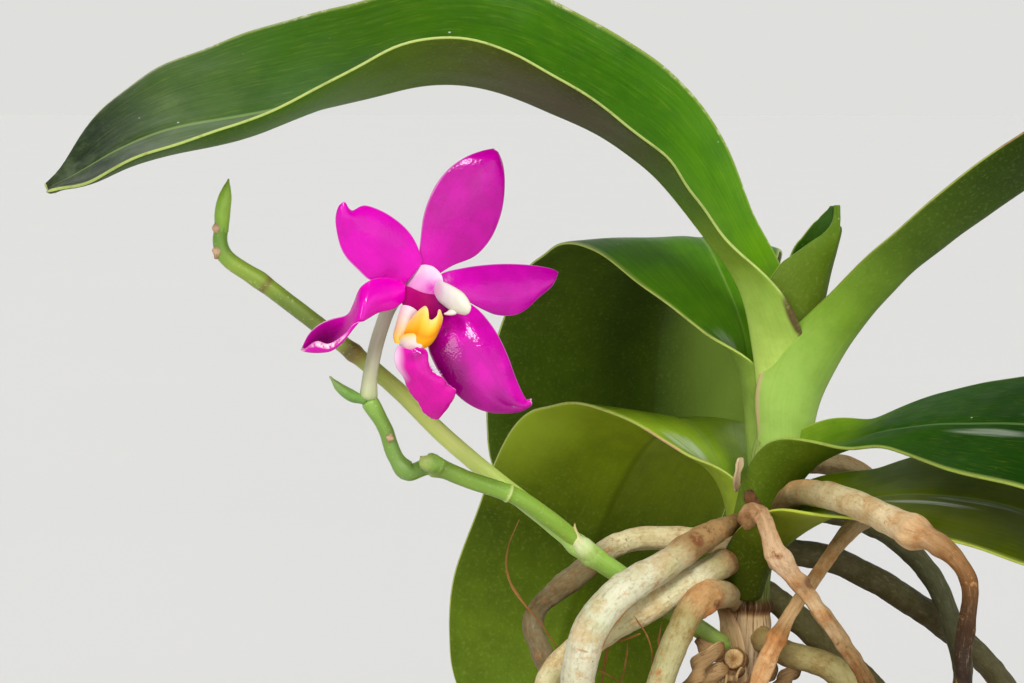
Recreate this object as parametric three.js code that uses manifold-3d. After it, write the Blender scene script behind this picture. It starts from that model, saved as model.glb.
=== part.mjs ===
// A potted moth orchid: seven strap leaves in two ranks, a forked flower spike with one
// open bloom, aerial roots, bark medium and a plain clay pot.
// Millimetres, Z up. The origin is the centre of the pot's flat base and +Y is the back.
import * as THREE from "three";
import { mergeVertices } from "three/addons/utils/BufferGeometryUtils.js";
import Module from "manifold-3d";

const wasm = await Module();
wasm.setup();

// Clearance kept between pieces that touch on the real plant
const GAP = 0.3;

// Detail smaller than this, left by the cuts, is merged away
const SLIVER = 0.05;

// Pot and medium
const POT = {
  height: 100,
  rimRadius: 57,
  rimHeight: 17,
  neckRadius: 51.5,
  baseRadius: 38,
  wall: 4.5,
  floor: 7,
  sides: 32,
};
const DRAIN = { count: 4, radius: 4, ring: 21, sides: 12 };
const MEDIUM = { edgeHeight: 88, dome: 5, sides: 20 };
const CHIPS = { count: 22, length: [11, 21], width: [7, 12], thickness: [4, 7], seed: 7 };

// Stem
const STEM = {
  path: [
    [-3, 1, 84],
    [-1.5, 0.5, 100],
    [-0.5, 0, 118],
    [0.5, 0, 131],
    [2, 0, 148],
    [5, 0, 168],
    [8.5, 0, 184],
  ],
  radius: [[0, 5.4], [0.3, 5.6], [0.42, 4.6], [0.6, 4.2], [0.85, 3], [1, 1.8]],
  sides: 10,
  steps: 12,
};

const degrees = THREE.MathUtils.degToRad;

// A value that runs smoothly through [position, value] keys without overshooting.
function through(keys) {
  const last = keys.length - 1;
  const rise = (i) => (keys[i + 1][1] - keys[i][1]) / (keys[i + 1][0] - keys[i][0]);
  const slope = keys.map((_, i) => {
    if (i === 0 || i === last) return 0;
    const before = rise(i - 1);
    const after = rise(i);
    return before * after <= 0 ? 0 : (2 * before * after) / (before + after);
  });
  return (t) => {
    if (t <= keys[0][0]) return keys[0][1];
    if (t >= keys[last][0]) return keys[last][1];
    const i = keys.findIndex((key) => key[0] > t) - 1;
    const span = keys[i + 1][0] - keys[i][0];
    const u = (t - keys[i][0]) / span;
    const a = keys[i][1];
    const b = keys[i + 1][1];
    return (
      (2 * u ** 3 - 3 * u ** 2 + 1) * a +
      (u ** 3 - 2 * u ** 2 + u) * span * slope[i] +
      (3 * u ** 2 - 2 * u ** 3) * b +
      (u ** 3 - u ** 2) * span * slope[i + 1]
    );
  };
}

// A constant or a list of keys, as a function of the position along a piece.
const along = (value) => (Array.isArray(value) ? through(value) : () => value);

// A repeatable stream of numbers from 0 to 1.
function dice(seed) {
  let state = seed * 2654435761;
  return () => {
    state = (Math.imul(state ^ (state >>> 15), 2246822519) + 374761393) >>> 0;
    return ((state ^ (state >>> 13)) >>> 0) / 4294967296;
  };
}

const curveOf = (points) =>
  new THREE.CatmullRomCurve3(
    points.map((p) => new THREE.Vector3(...p)),
    false,
    "centripetal",
  );

function geometryOf(positions, triangles) {
  const geometry = new THREE.BufferGeometry();
  geometry.setAttribute("position", new THREE.Float32BufferAttribute(positions, 3));
  geometry.setIndex(triangles);
  return geometry;
}

// Closed solids for cutting and joining, and back to drawable geometry.
function solidOf(geometry) {
  const bare = geometry.clone();
  bare.deleteAttribute("normal");
  bare.deleteAttribute("uv");
  const merged = mergeVertices(bare, 1e-4);
  return new wasm.Manifold(
    new wasm.Mesh({
      numProp: 3,
      vertProperties: merged.attributes.position.array,
      triVerts: new Uint32Array(merged.index.array),
    }),
  );
}

function geometryFrom(solid) {
  const mesh = solid.getMesh();
  return geometryOf(Array.from(mesh.vertProperties), Array.from(mesh.triVerts));
}

const largest = (solid) =>
  solid.decompose().reduce((best, body) => (body.volume() > best.volume() ? body : best));

const joined = (solids) => solids.reduce((all, next) => all.add(next));

const cutBy = (solid, tools) =>
  largest(tools.reduce((left, tool) => left.subtract(tool), solid));

// A closed tube along a path, with round sections, a radius that varies and domed ends.
function tube({ path, radius, sides = 6, steps = 14, bumps = 0, seed = 1 }, grow = 0) {
  const curve = curveOf(path);
  const frames = curve.computeFrenetFrames(steps, false);
  const radiusAt = along(radius);
  const roll = dice(seed);
  const lumps = Array.from({ length: steps + 1 }, () => 1 + bumps * (2 * roll() - 1));
  const positions = [];
  const triangles = [];
  const ring = (centre, i, r) => {
    for (let k = 0; k < sides; k++) {
      const angle = (2 * Math.PI * k) / sides;
      const p = centre
        .clone()
        .addScaledVector(frames.normals[i], r * Math.cos(angle))
        .addScaledVector(frames.binormals[i], r * Math.sin(angle));
      positions.push(p.x, p.y, p.z);
    }
  };
  const capInset = 0.45;
  const capReach = 0.5;
  const first = curve.getPointAt(0);
  const last = curve.getPointAt(1);
  const startRadius = radiusAt(0) * lumps[0] + grow;
  const endRadius = radiusAt(1) * lumps[steps] + grow;
  ring(first.addScaledVector(frames.tangents[0], -grow - capReach * startRadius), 0, startRadius * capInset);
  for (let i = 0; i <= steps; i++) {
    const shift = i === 0 ? -grow : i === steps ? grow : 0;
    const centre = curve.getPointAt(i / steps).addScaledVector(frames.tangents[i], shift);
    ring(centre, i, radiusAt(i / steps) * lumps[i] + grow);
  }
  ring(last.addScaledVector(frames.tangents[steps], grow + capReach * endRadius), steps, endRadius * capInset);
  const rings = steps + 3;
  for (let i = 0; i < rings - 1; i++) {
    for (let k = 0; k < sides; k++) {
      const a = i * sides + k;
      const b = i * sides + ((k + 1) % sides);
      triangles.push(a, b, b + sides, a, b + sides, a + sides);
    }
  }
  for (let k = 1; k < sides - 1; k++) {
    const end = (rings - 1) * sides;
    triangles.push(0, k + 1, k, end, end + k, end + k + 1);
  }
  return geometryOf(positions, triangles);
}

// Where one half of a cross-section runs: an arc that starts at the midrib with one
// slope and ends at the margin with another, measured up from flat in degrees.
function sectionPoint(reach, inner, outer, share) {
  const start = degrees(inner);
  const turn = degrees(outer) - start;
  if (Math.abs(turn) < 1e-3) {
    return [reach * share * Math.cos(start), reach * share * Math.sin(start), start];
  }
  const angle = start + turn * share;
  const out = (reach * (Math.sin(angle) - Math.sin(start))) / turn;
  const up = (reach * (Math.cos(start) - Math.cos(angle))) / turn;
  return [out, up, angle];
}

// A leaf or petal: a closed blade with two faces on a curved midrib. The left half has
// positive side values. side gives the direction of the left half, or face that of the
// upper face, and roll raises the left half.
function blade(spec, grow = 0) {
  const { midrib, steps = 18, halfSteps = 3 } = spec;
  const curve = curveOf(midrib);
  const width = along(spec.width);
  const rightWidth = along(spec.rightWidth ?? spec.width);
  const rib = along(spec.rib ?? 2);
  const margin = along(spec.margin ?? 0.8);
  const roll = along(spec.roll ?? 0);
  const folds = {
    left: [along(spec.left[0]), along(spec.left[1])],
    right: [along((spec.right ?? spec.left)[0]), along((spec.right ?? spec.left)[1])],
  };
  const facing = ["x", "y", "z"].map((_, i) =>
    through((spec.side ?? spec.face).map(([t, v]) => [t, v[i]])),
  );
  const across = 2 * halfSteps + 1;
  const top = [];
  const bottom = [];
  for (let i = 0; i <= steps; i++) {
    const t = i / steps;
    const centre = curve.getPointAt(t);
    const ahead = curve.getTangentAt(t);
    const hint = new THREE.Vector3(...facing.map((value) => value(t)));
    hint.addScaledVector(ahead, -hint.dot(ahead)).normalize();
    const left = spec.side ? hint : new THREE.Vector3().crossVectors(hint, ahead);
    left.applyAxisAngle(ahead, degrees(roll(t)));
    const up = new THREE.Vector3().crossVectors(ahead, left);
    const end = i === 0 ? -grow : i === steps ? grow : 0;
    centre.addScaledVector(ahead, end);
    for (let k = 0; k < across; k++) {
      const signed = (k - halfSteps) / halfSteps;
      const share = Math.abs(signed);
      const sign = signed < 0 ? -1 : 1;
      const [inner, outer] = signed < 0 ? folds.right : folds.left;
      const reach = (signed < 0 ? rightWidth(t) : width(t)) + grow;
      const [out, rise, angle] = sectionPoint(reach, inner(t), outer(t), share);
      const wave = spec.wave ? spec.wave(t, signed) * share ** 2 : 0;
      const thick = margin(t) + (rib(t) - margin(t)) * (1 - share) ** 2;
      const point = centre
        .clone()
        .addScaledVector(left, sign * out)
        .addScaledVector(up, rise + wave);
      const normal = up
        .clone()
        .multiplyScalar(Math.cos(angle))
        .addScaledVector(left, -sign * Math.sin(angle));
      const above = 0.3 * margin(t) + grow;
      top.push(point.clone().addScaledVector(normal, above));
      bottom.push(point.clone().addScaledVector(normal, above - thick - 2 * grow));
    }
  }
  const positions = [...top, ...bottom].flatMap((p) => [p.x, p.y, p.z]);
  const triangles = [];
  const under = top.length;
  const quad = (a, b, c, d) => triangles.push(a, b, c, a, c, d);
  for (let i = 0; i < steps; i++) {
    for (let k = 0; k < across - 1; k++) {
      const a = i * across + k;
      const b = a + 1;
      const c = b + across;
      const d = a + across;
      triangles.push(a, c, b, a, d, c);
      triangles.push(under + a, under + b, under + c, under + a, under + c, under + d);
    }
    const right = i * across;
    const left = right + across - 1;
    quad(right, under + right, under + right + across, right + across);
    quad(left, left + across, under + left + across, under + left);
  }
  for (let k = 0; k < across - 1; k++) {
    const base = k;
    const tip = steps * across + k;
    quad(base, base + 1, under + base + 1, under + base);
    quad(tip, under + tip, under + tip + 1, tip + 1);
  }
  return geometryOf(positions, triangles);
}

// A horizontal direction by its bearing: 0 is +X and 90 is +Y.
const bearing = (angle) => [Math.cos(degrees(angle)), Math.sin(degrees(angle)), 0];

// Leaves, oldest last. Keys run from 0 at the sheath's foot to 1 at the tip.
const LEAVES = [
  {
    name: "leaf_young_centre",
    midrib: [
      [12.3, 0, 180], [13.6, 0, 187], [14.8, 0, 193], [16.4, 0, 201.5], [17.4, -1, 206],
      [18.4, -1.5, 211], [18.2, -1, 214.8],
    ],
    side: [[0, bearing(90)], [1, bearing(90)]],
    width: [[0, 6], [0.35, 8], [0.6, 8.6], [0.82, 6], [0.94, 4], [1, 2]],
    rightWidth: [[0, 6], [0.25, 9], [0.42, 13.5], [0.58, 11.5], [0.72, 7], [0.82, 2.6], [0.9, 1], [1, 0.8]],
    left: [60, [[0, 150], [0.4, 90], [1, 80]]],
    right: [40, [[0, 150], [0.25, 120], [0.45, 100], [1, 90]]],
    rib: 1.6,
    steps: 12,
  },
  {
    name: "leaf_left_arching",
    midrib: [
      [6.2, 1, 160], [5.3, 1, 166], [3.6, 1, 174], [2.4, 0, 184], [-0.8, -3, 197.6], [-10, -8, 211],
      [-22.8, -13, 225.2], [-40, -18, 235], [-60, -22, 241.5], [-82, -26, 238], [-104, -28, 234],
      [-124, -30, 229], [-143, -30, 219],
    ],
    side: [[0, bearing(-90)], [1, bearing(-90)]],
    width: [
      [0, 8], [0.06, 8.5], [0.12, 11.5], [0.18, 11], [0.225, 7.5], [0.26, 7.5], [0.31, 11.5], [0.4, 19.5],
      [0.55, 28], [0.7, 30], [0.83, 26], [0.935, 15], [1, 1.5],
    ],
    rightWidth: [
      [0, 8], [0.06, 8.5], [0.12, 12], [0.17, 12], [0.22, 13], [0.27, 17.5], [0.4, 27.5], [0.55, 31],
      [0.7, 31], [0.83, 26], [0.935, 15], [1, 1.5],
    ],
    left: [
      [[0, 15], [0.25, 10], [0.39, 4], [0.62, 6], [0.81, -30], [1, -35]],
      [[0, 150], [0.1, 150], [0.155, 90], [0.2, 48], [0.27, 18], [0.39, 12], [0.62, 22], [0.81, 22], [1, 0]],
    ],
    right: [
      [[0, 15], [0.25, 26], [0.53, 28], [1, 30]],
      [[0, 150], [0.08, 150], [0.17, 80], [0.25, 66], [0.53, 56], [0.72, 42], [1, 38]],
    ],
    steps: 21,
  },
  {
    name: "leaf_right_upper",
    midrib: [
      [9.4, 0, 152], [10.4, 0, 157.6], [11.5, 0, 163], [13, 0, 172], [15.7, -1, 179], [20.8, -3, 188],
      [30.3, -8, 200.3], [45.8, -14, 214], [64.5, -20, 225.6], [82, -26, 231], [98, -32, 230],
      [112, -36, 222],
    ],
    side: [[0, bearing(90)], [0.35, bearing(80)], [1, bearing(68)]],
    width: [[0, 11], [0.18, 12], [0.27, 8.5], [0.38, 8.5], [0.54, 13.5], [0.77, 18], [0.91, 14], [1, 1.5]],
    rightWidth: [
      [0, 11], [0.09, 12.5], [0.15, 15.5], [0.19, 16], [0.24, 13], [0.35, 13], [0.54, 15], [0.77, 18],
      [0.91, 14], [1, 1.5],
    ],
    left: [
      [[0, 15], [0.35, 20], [1, 20]],
      [[0, 150], [0.08, 150], [0.26, 100], [0.4, 44], [0.72, 30], [1, 26]],
    ],
    right: [
      [[0, 15], [0.35, 26], [1, 22]],
      [[0, 150], [0.17, 150], [0.22, 128], [0.27, 106], [0.4, 62], [0.54, 48], [0.72, 40], [1, 30]],
    ],
    steps: 20,
  },
  {
    name: "leaf_back_upper",
    midrib: [
      [2.6, 2, 151], [1.5, 4, 164], [1, 8, 177], [0, 13, 187], [-4, 24, 199], [-8, 42, 205.5],
      [-12, 61, 199.5], [-16, 75, 183], [-17, 82, 163.5], [-19, 85, 138], [-20, 84, 112],
    ],
    side: [[0, bearing(-105)], [0.07, bearing(-105)], [0.21, bearing(-165)], [1, bearing(-172)]],
    width: [
      [0, 9], [0.07, 11], [0.135, 10], [0.18, 9], [0.23, 14], [0.284, 21], [0.37, 28], [0.49, 33],
      [0.59, 35.5], [0.71, 40], [0.8, 39], [0.88, 31], [0.955, 18], [1, 2],
    ],
    rightWidth: [
      [0, 9], [0.07, 11], [0.135, 10], [0.18, 8], [0.23, 9], [0.284, 12], [0.37, 18], [0.49, 25],
      [0.72, 34], [0.87, 28], [0.955, 16], [1, 2],
    ],
    left: [
      [[0, 15], [0.16, 6], [0.44, 2], [1, 10]],
      [[0, 140], [0.07, 140], [0.145, 110], [0.196, 14], [0.3, -4], [0.44, -4], [0.63, 6], [1, 12]],
    ],
    right: [
      [[0, 15], [0.256, -4], [0.4, -4], [0.63, 10], [1, 12]],
      [[0, 140], [0.07, 140], [0.18, 70], [0.256, -14], [0.4, -10], [0.63, 8], [1, 12]],
    ],
    steps: 19,
  },
  {
    name: "leaf_right_broad",
    midrib: [
      [6, -3, 146], [8.5, -6, 156], [13, -12, 163], [22, -23, 168.5], [35, -36, 172.5], [50, -46, 174],
      [69, -52, 172], [88, -54, 164], [104, -54, 152],
    ],
    side: [[0, bearing(80)], [0.25, bearing(50)], [0.6, bearing(68)], [1, bearing(85)]],
    width: [[0, 12], [0.15, 10], [0.22, 10], [0.32, 20], [0.5, 26], [0.7, 29], [0.86, 24], [0.95, 13], [1, 2]],
    rightWidth: [[0, 12], [0.15, 12], [0.24, 8], [0.33, 9.5], [0.5, 19.5], [0.7, 27], [0.86, 24], [0.95, 13], [1, 2]],
    left: [
      [[0, 15], [0.3, 0], [0.5, -2], [1, -2]],
      [[0, 140], [0.16, 60], [0.24, 0], [0.5, -6], [1, -8]],
    ],
    right: [
      [[0, 15], [0.3, 4], [0.5, -2], [1, -2]],
      [[0, 140], [0.18, 75], [0.3, 5], [0.5, -8], [1, -8]],
    ],
    roll: [[0, 0], [0.3, 20], [0.8, 20], [1, 10]],
    steps: 15,
  },
  {
    name: "leaf_back_lower",
    midrib: [
      [-2, 4, 142], [-3, 8, 152], [-6, 18, 161], [-12, 34, 166], [-19, 48, 160], [-26, 56, 147],
      [-32, 60.5, 130], [-38, 62.5, 112], [-43, 62, 95], [-47, 59, 80],
    ],
    side: [[0, bearing(-105)], [0.17, bearing(-160)], [1, bearing(-173)]],
    width: [
      [0, 11], [0.07, 9], [0.12, 9], [0.18, 14], [0.26, 20], [0.36, 26], [0.48, 29], [0.6, 28.6],
      [0.72, 28.8], [0.86, 24], [0.95, 14], [1, 2],
    ],
    rightWidth: [
      [0, 11], [0.07, 9], [0.12, 9], [0.18, 14], [0.26, 20], [0.36, 26], [0.5, 30], [0.7, 31],
      [0.86, 25], [0.95, 14], [1, 2],
    ],
    left: [
      [[0, 15], [0.1, 10], [0.4, 10], [1, 10]],
      [[0, 140], [0.07, 90], [0.14, 20], [0.25, 10], [0.4, 8], [0.6, 10], [1, 12]],
    ],
    right: [
      [[0, 15], [0.15, 0], [0.35, 5], [1, 12]],
      [[0, 140], [0.07, 90], [0.14, 0], [0.3, -6], [0.6, 10], [1, 12]],
    ],
    steps: 15,
  },
  {
    name: "leaf_right_lower",
    midrib: [
      [1, -4, 132], [4, -8, 142], [10, -13, 149], [21, -20, 155], [34, -26, 157], [52, -31, 155],
      [71, -34, 147], [87, -34, 135],
    ],
    side: [[0, bearing(75)], [0.3, bearing(58)], [0.6, bearing(75)], [1, bearing(88)]],
    width: [[0, 10], [0.15, 11], [0.3, 14], [0.55, 22], [0.75, 24], [0.9, 15], [1, 2]],
    left: [[[0, 15], [0.3, 6], [1, 2]], [[0, 140], [0.18, 75], [0.34, 8], [1, -4]]],
    roll: [[0, 0], [0.3, 14], [0.8, 18], [1, 8]],
    steps: 15,
  },
];

// Roots: each one leaves the stem and runs into the medium or over the pot's rim.
const ROOTS = [
  {
    name: "root_front_thick",
    path: [
      [0, -3, 148.5], [-4, -7, 148], [-9, -14, 147], [-14, -19, 145], [-19, -23, 142], [-24, -26, 139.5],
      [-28.5, -29, 137], [-32.5, -31, 133], [-34.7, -32, 129], [-36, -32, 124], [-37, -31, 117],
      [-37, -29, 108], [-34, -27, 98], [-33, -26, 86],
    ],
    radius: [[0, 2.1], [0.12, 2.3], [0.2, 2.8], [0.32, 3.2], [0.5, 3.7], [0.7, 3.4], [1, 3.1]],
    seed: 11,
    steps: 20,
  },
  {
    name: "root_front_low",
    path: [
      [-1, -4, 141], [-7, -11, 140], [-11.5, -15, 138], [-16, -18, 136], [-21, -20, 133.5], [-27, -21, 130.5],
      [-33, -21, 126.5], [-37.5, -21, 123.5], [-41, -20.5, 120], [-43, -19, 115], [-43, -17, 106],
      [-40, -15, 97], [-39, -14, 86],
    ],
    radius: [[0, 2.6], [0.2, 3.1], [1, 2.8]],
    seed: 12,
    steps: 18,
  },
  {
    name: "root_back_grey",
    path: [
      [0, 2, 142], [-5, 4, 142.5], [-12, 5.5, 143], [-23.5, 5, 143], [-30, 2, 141], [-36, -1, 136.5],
      [-41, -4, 133], [-44.5, -5, 130], [-45.5, -6, 126], [-44, -7, 122], [-42, -8, 117],
      [-39, -7, 106], [-37, -5, 96], [-37, -4, 86],
    ],
    radius: [[0, 2.6], [0.3, 2.4], [0.6, 2.2], [1, 2]],
    seed: 13,
    steps: 20,
  },
  {
    name: "root_steep",
    path: [
      [0, -4, 131], [-2, -8.5, 133.5], [-5, -12, 134.5], [-9.5, -17, 134.8], [-13, -21.5, 132.8], [-16, -24, 128],
      [-18, -26, 123.5], [-20, -27, 118], [-22, -27, 110], [-23, -26, 100], [-23, -25, 86],
    ],
    radius: [[0, 2.4], [0.15, 3], [0.26, 3.3], [0.34, 2.9], [0.5, 2.8], [1, 2.8]],
    seed: 14,
    steps: 18,
  },
  {
    name: "root_dry_front",
    path: [
      [1, -4, 150], [0.5, -9, 151], [0.5, -14, 150.5], [1.6, -19, 148], [3.4, -22, 144.5], [6.5, -24, 141],
      [9.3, -26, 137.8], [12, -28, 134], [15.3, -30, 129.7], [18.6, -32, 125], [21.5, -33, 120],
      [25, -33, 110], [27, -31.5, 99], [27, -31, 86],
    ],
    radius: [[0, 2], [0.14, 2.2], [0.22, 1.7], [0.3, 1.9], [0.5, 1.6], [1, 1.5]],
    seed: 15,
    steps: 18,
  },
  {
    name: "root_dry_loop",
    path: [
      [3, 2, 158], [12, 8, 159], [19, 7, 159], [25, 3, 157], [26, -2, 151], [21, -7, 147],
      [14, -12, 139], [8, -15, 131], [3, -17, 122], [0, -19, 113], [-2, -19, 88],
    ],
    radius: [[0, 2.2], [0.3, 2.4], [0.46, 1.5], [0.6, 1.6], [0.68, 2], [0.8, 1.7], [1, 1.6]],
    seed: 16,
    steps: 22,
  },
  {
    name: "root_right_hanging",
    path: [
      [3, -1, 149], [6.7, -8, 152.5], [9, -16, 156], [12.8, -28, 157.5], [17.5, -38, 157.2], [22, -47, 156],
      [26.7, -55, 154.2], [30.3, -59, 153], [34, -61.5, 150.3], [36.6, -62.5, 146.5], [37.2, -63, 142.5],
      [36.5, -63.5, 137], [35.8, -64, 130], [37, -65, 119], [38.5, -65.5, 108], [38.5, -66, 97],
      [37, -66, 87],
    ],
    radius: [[0, 2.2], [0.1, 2.7], [0.35, 2.8], [0.44, 2.8], [0.5, 2], [0.56, 1.7], [0.7, 1.6], [1, 1.1]],
    seed: 17,
    steps: 24,
  },
  {
    name: "root_right_olive",
    path: [
      [4, 3, 141], [10, 7, 140], [20, 14, 137], [29, 20, 132], [41, 26, 124], [52, 32, 115],
      [61, 37, 105], [67, 40, 92], [68, 41, 76],
    ],
    radius: [[0, 2.8], [0.3, 3], [0.9, 2.6], [1, 2.2]],
    seed: 18,
  },
  {
    name: "root_right_far",
    path: [
      [4, 4, 150], [11, 8, 149], [24, 16, 146], [35, 20, 140], [43, 20, 131], [46.5, 19, 122],
      [48.5, 16, 113], [47, 11, 104], [43, 8, 97], [41, 7, 84],
    ],
    radius: [[0, 2.3], [0.4, 2.4], [1, 2]],
    seed: 19,
  },
  {
    name: "root_right_under",
    path: [
      [1, 2, 133], [5, 5, 131], [12, 8, 125], [19, 10, 118], [27, 9, 111], [32, 5, 104], [34, 1, 96],
      [34, -1, 84],
    ],
    radius: [[0, 2.8], [0.4, 3], [1, 2.6]],
    seed: 20,
  },
  {
    name: "root_front_under",
    path: [
      [0, -1, 124], [3, -4, 123], [8, -9, 121], [16, -12, 119], [22, -13, 113], [25, -13, 104],
      [26, -12, 84],
    ],
    radius: [[0, 2.6], [0.4, 2.8], [1, 2.4]],
    seed: 21,
  },
];

// Flower spike: the flower stalk forks at its first joint into a pale branch that has
// dropped its blooms and a green branch that carries the open one.
const SPIKE = {
  pale: {
    path: [
      [-2, -1, 120], [-6, -5, 122.5], [-11, -9, 126.5], [-19.3, -14, 132.7], [-27.7, -17, 139.1],
      [-36, -20, 145.4], [-44.3, -21, 152.4], [-54.5, -22, 160.6], [-64.6, -23, 169.5],
      [-72.7, -24, 177.8], [-82.8, -24, 186.4], [-91.8, -25, 193.6], [-100.4, -26, 200.3],
      [-107.6, -27, 205.6], [-108.6, -27, 208.5], [-108.3, -27, 211.5],
    ],
    radius: [
      [0, 2], [0.28, 2.1], [0.3, 2.5], [0.325, 2.5], [0.345, 1.9], [0.6, 1.75], [0.725, 1.7],
      [0.74, 2.1], [0.755, 1.7], [0.88, 1.7], [0.9, 1.9], [0.92, 1.7], [0.96, 1.6], [1, 1.4],
    ],
    steps: 30,
  },
  green: {
    path: [
      [-34, -19.5, 144.2], [-38.5, -22, 148.5], [-43.3, -25, 152.6], [-49.4, -28, 157.1],
      [-58.5, -30, 160.6], [-66.4, -32, 163.7], [-70.6, -33, 162.8], [-73.2, -33, 165.5],
      [-75.4, -33, 171.5], [-78.3, -33, 176.6],
    ],
    radius: [
      [0, 1.5], [0.2, 1.8], [0.37, 1.7], [0.4, 2.1], [0.43, 1.75], [0.62, 1.75], [0.66, 2.2],
      [0.7, 2], [0.75, 2.3], [0.8, 2], [0.92, 1.8], [1, 1.9],
    ],
    steps: 20,
  },
};
const TIP_BRACT = {
  path: [[-108.2, -27, 212.6], [-107.9, -27, 215.8], [-107.3, -27, 218.6], [-106.8, -27, 221]],
  radius: [[0, 1.1], [0.3, 1.5], [0.75, 1.1], [1, 0.3]],
  steps: 6,
};
const SIDE_BRACT = {
  path: [[-79.6, -33.6, 177.2], [-81.9, -34, 178.1], [-84.2, -35, 179.8], [-86.1, -36, 182.1]],
  radius: [[0, 1], [0.3, 1.5], [0.7, 1.1], [1, 0.3]],
  steps: 6,
};
const PEDICEL = {
  path: [
    [-78.6, -33.3, 177.9], [-78.4, -33, 181.2], [-77.5, -33, 186.2], [-76.1, -33, 191.2],
    [-74.1, -33, 196.2], [-71.4, -33.4, 199.2], [-69.5, -34.6, 200.7],
  ],
  radius: [[0, 1.8], [0.15, 1.5], [0.8, 1.45], [1, 1.6]],
  steps: 12,
};

// The bloom: sepals behind, petals before them, and the lip hinged under the column.
const FLOWER = { face: [0.49, -0.85, -0.17] };
const TEPALS = [
  {
    name: "sepal_dorsal",
    midrib: [[-67.6, -37, 201.8], [-65.6, -37, 203.4], [-63.8, -36.8, 206], [-61.5, -36, 210.3], [-57.5, -35, 219.1], [-53, -34, 227.2]],
    width: [[0, 2.2], [0.15, 4.8], [0.35, 7.4], [0.55, 7.8], [0.8, 6.8], [0.93, 4], [1, 0.8]],
    left: [4, -12],
    wave: (t, side) => 0.25 * Math.sin(9 * t + 2 * side),
  },
  {
    name: "petal_left",
    midrib: [[-67.9, -37.4, 201.8], [-69.4, -38.3, 203.4], [-72.9, -40.5, 207], [-77.7, -42.5, 211], [-83.2, -44.5, 216.2]],
    width: [[0, 1.7], [0.2, 4.2], [0.5, 7], [0.75, 6.6], [0.92, 3.6], [1, 0.8]],
    rightWidth: [[0, 1.7], [0.2, 3.2], [0.5, 4.6], [0.75, 4.8], [0.92, 2.6], [1, 0.8]],
    left: [8, -14],
    wave: (t, side) => 0.3 * Math.sin(8 * t + 3 * side),
  },
  {
    name: "petal_right",
    midrib: [[-66.8, -37.4, 201.2], [-62.6, -36.8, 201.4], [-56.4, -34, 200.6], [-49.4, -31, 200], [-41.2, -27, 202.8]],
    width: [[0, 1.7], [0.2, 3.4], [0.5, 4.8], [0.75, 4.6], [0.92, 2.6], [1, 0.7]],
    rightWidth: [[0, 1.7], [0.2, 3.8], [0.5, 6.2], [0.75, 6], [0.92, 3], [1, 0.7]],
    left: [6, 16],
    wave: (t, side) => 0.3 * Math.sin(7 * t + 2 * side),
  },
  {
    name: "sepal_lower_right",
    midrib: [[-66.2, -38.2, 200.4], [-64, -38.8, 197.2], [-60.6, -41, 190], [-55.8, -43, 183], [-46.5, -44, 177.4]],
    width: [[0, 1.8], [0.2, 4.6], [0.5, 7.2], [0.75, 6.4], [0.93, 2.4], [1, 0.6]],
    left: [14, -6],
    wave: (t, side) => 0.2 * Math.sin(10 * t + 2 * side),
  },
  {
    name: "sepal_lower_left",
    midrib: [
      [-68.2, -37.6, 200.8], [-70.8, -38.6, 200], [-75, -41, 198.8], [-78.7, -44, 197], [-81.8, -45.5, 193.2],
      [-86.1, -45, 190.7], [-91, -42, 188.6],
    ],
    width: [[0, 1.8], [0.2, 3.4], [0.45, 4.2], [0.7, 4.4], [0.9, 3], [1, 0.7]],
    rightWidth: [[0, 1.8], [0.2, 3.8], [0.45, 3.8], [0.7, 3], [0.9, 2.4], [1, 0.7]],
    left: [10, 20],
    face: [[0, [0.45, -0.75, 0.3]], [0.4, [0.2, -0.8, 0.5]], [0.7, [-0.2, -0.6, 0.7]], [1, [-0.3, -0.5, 0.8]]],
    wave: (t, side) => 0.3 * Math.sin(9 * t + 2 * side),
  },
];
const LIP_LOBES = [
  {
    midrib: [[-70.2, -44, 190.6], [-69.4, -44.4, 193.2], [-67.8, -44.6, 195.4], [-66.2, -44.6, 196.8]],
    face: [[0, [0.7, -0.6, -0.3]], [1, [0.7, -0.6, -0.3]]],
  },
  {
    midrib: [[-68.2, -46.6, 189.6], [-66.9, -47.2, 192], [-65.4, -47.6, 194.4], [-63.9, -47.7, 196.4]],
    face: [[0, [0.75, -0.55, -0.3]], [1, [0.75, -0.55, -0.3]]],
  },
];
const LIP_CLAW = {
  path: [[-70.8, -40.6, 197.2], [-71.3, -42.5, 194], [-70.2, -44.6, 191], [-68.8, -46, 189.4]],
  radius: [[0, 1.1], [0.5, 1.5], [1, 1.9]],
  steps: 8,
};
const LIP_MIDLOBE = {
  midrib: [[-70.3, -46.6, 188.2], [-68.8, -48, 184.6], [-66.2, -48.2, 180.4], [-64.4, -47, 176]],
  face: [[0, [0.5, -0.85, 0.15]], [1, [0.5, -0.85, 0.1]]],
  width: [[0, 2.2], [0.3, 2.9], [0.6, 4.2], [0.75, 5], [0.9, 3.6], [1, 1]],
  left: [24, 10],
  wave: (t, side) => 0.4 * Math.sin(14 * t + 3 * side),
};
const COLUMN = {
  path: [[-69, -36, 201.2], [-66.6, -38.6, 201.2], [-64.6, -41.4, 200.6], [-63, -43.2, 199.8]],
  radius: [[0, 2.6], [0.3, 2.5], [0.8, 2], [1, 1.9]],
  steps: 8,
};
const COLUMN_FOOT = {
  path: [[-67.4, -37.6, 200.4], [-68.8, -39, 198.6]],
  radius: [[0, 2.2], [1, 1.6]],
  steps: 3,
};
const ANTHER_CAP = {
  path: [[-62.3, -44, 199.4], [-61, -45.2, 198.4], [-60.2, -45.9, 197.2], [-60.4, -46, 196]],
  radius: [[0, 1.5], [0.25, 2.3], [0.7, 1.9], [1, 0.5]],
  steps: 7,
};

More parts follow.
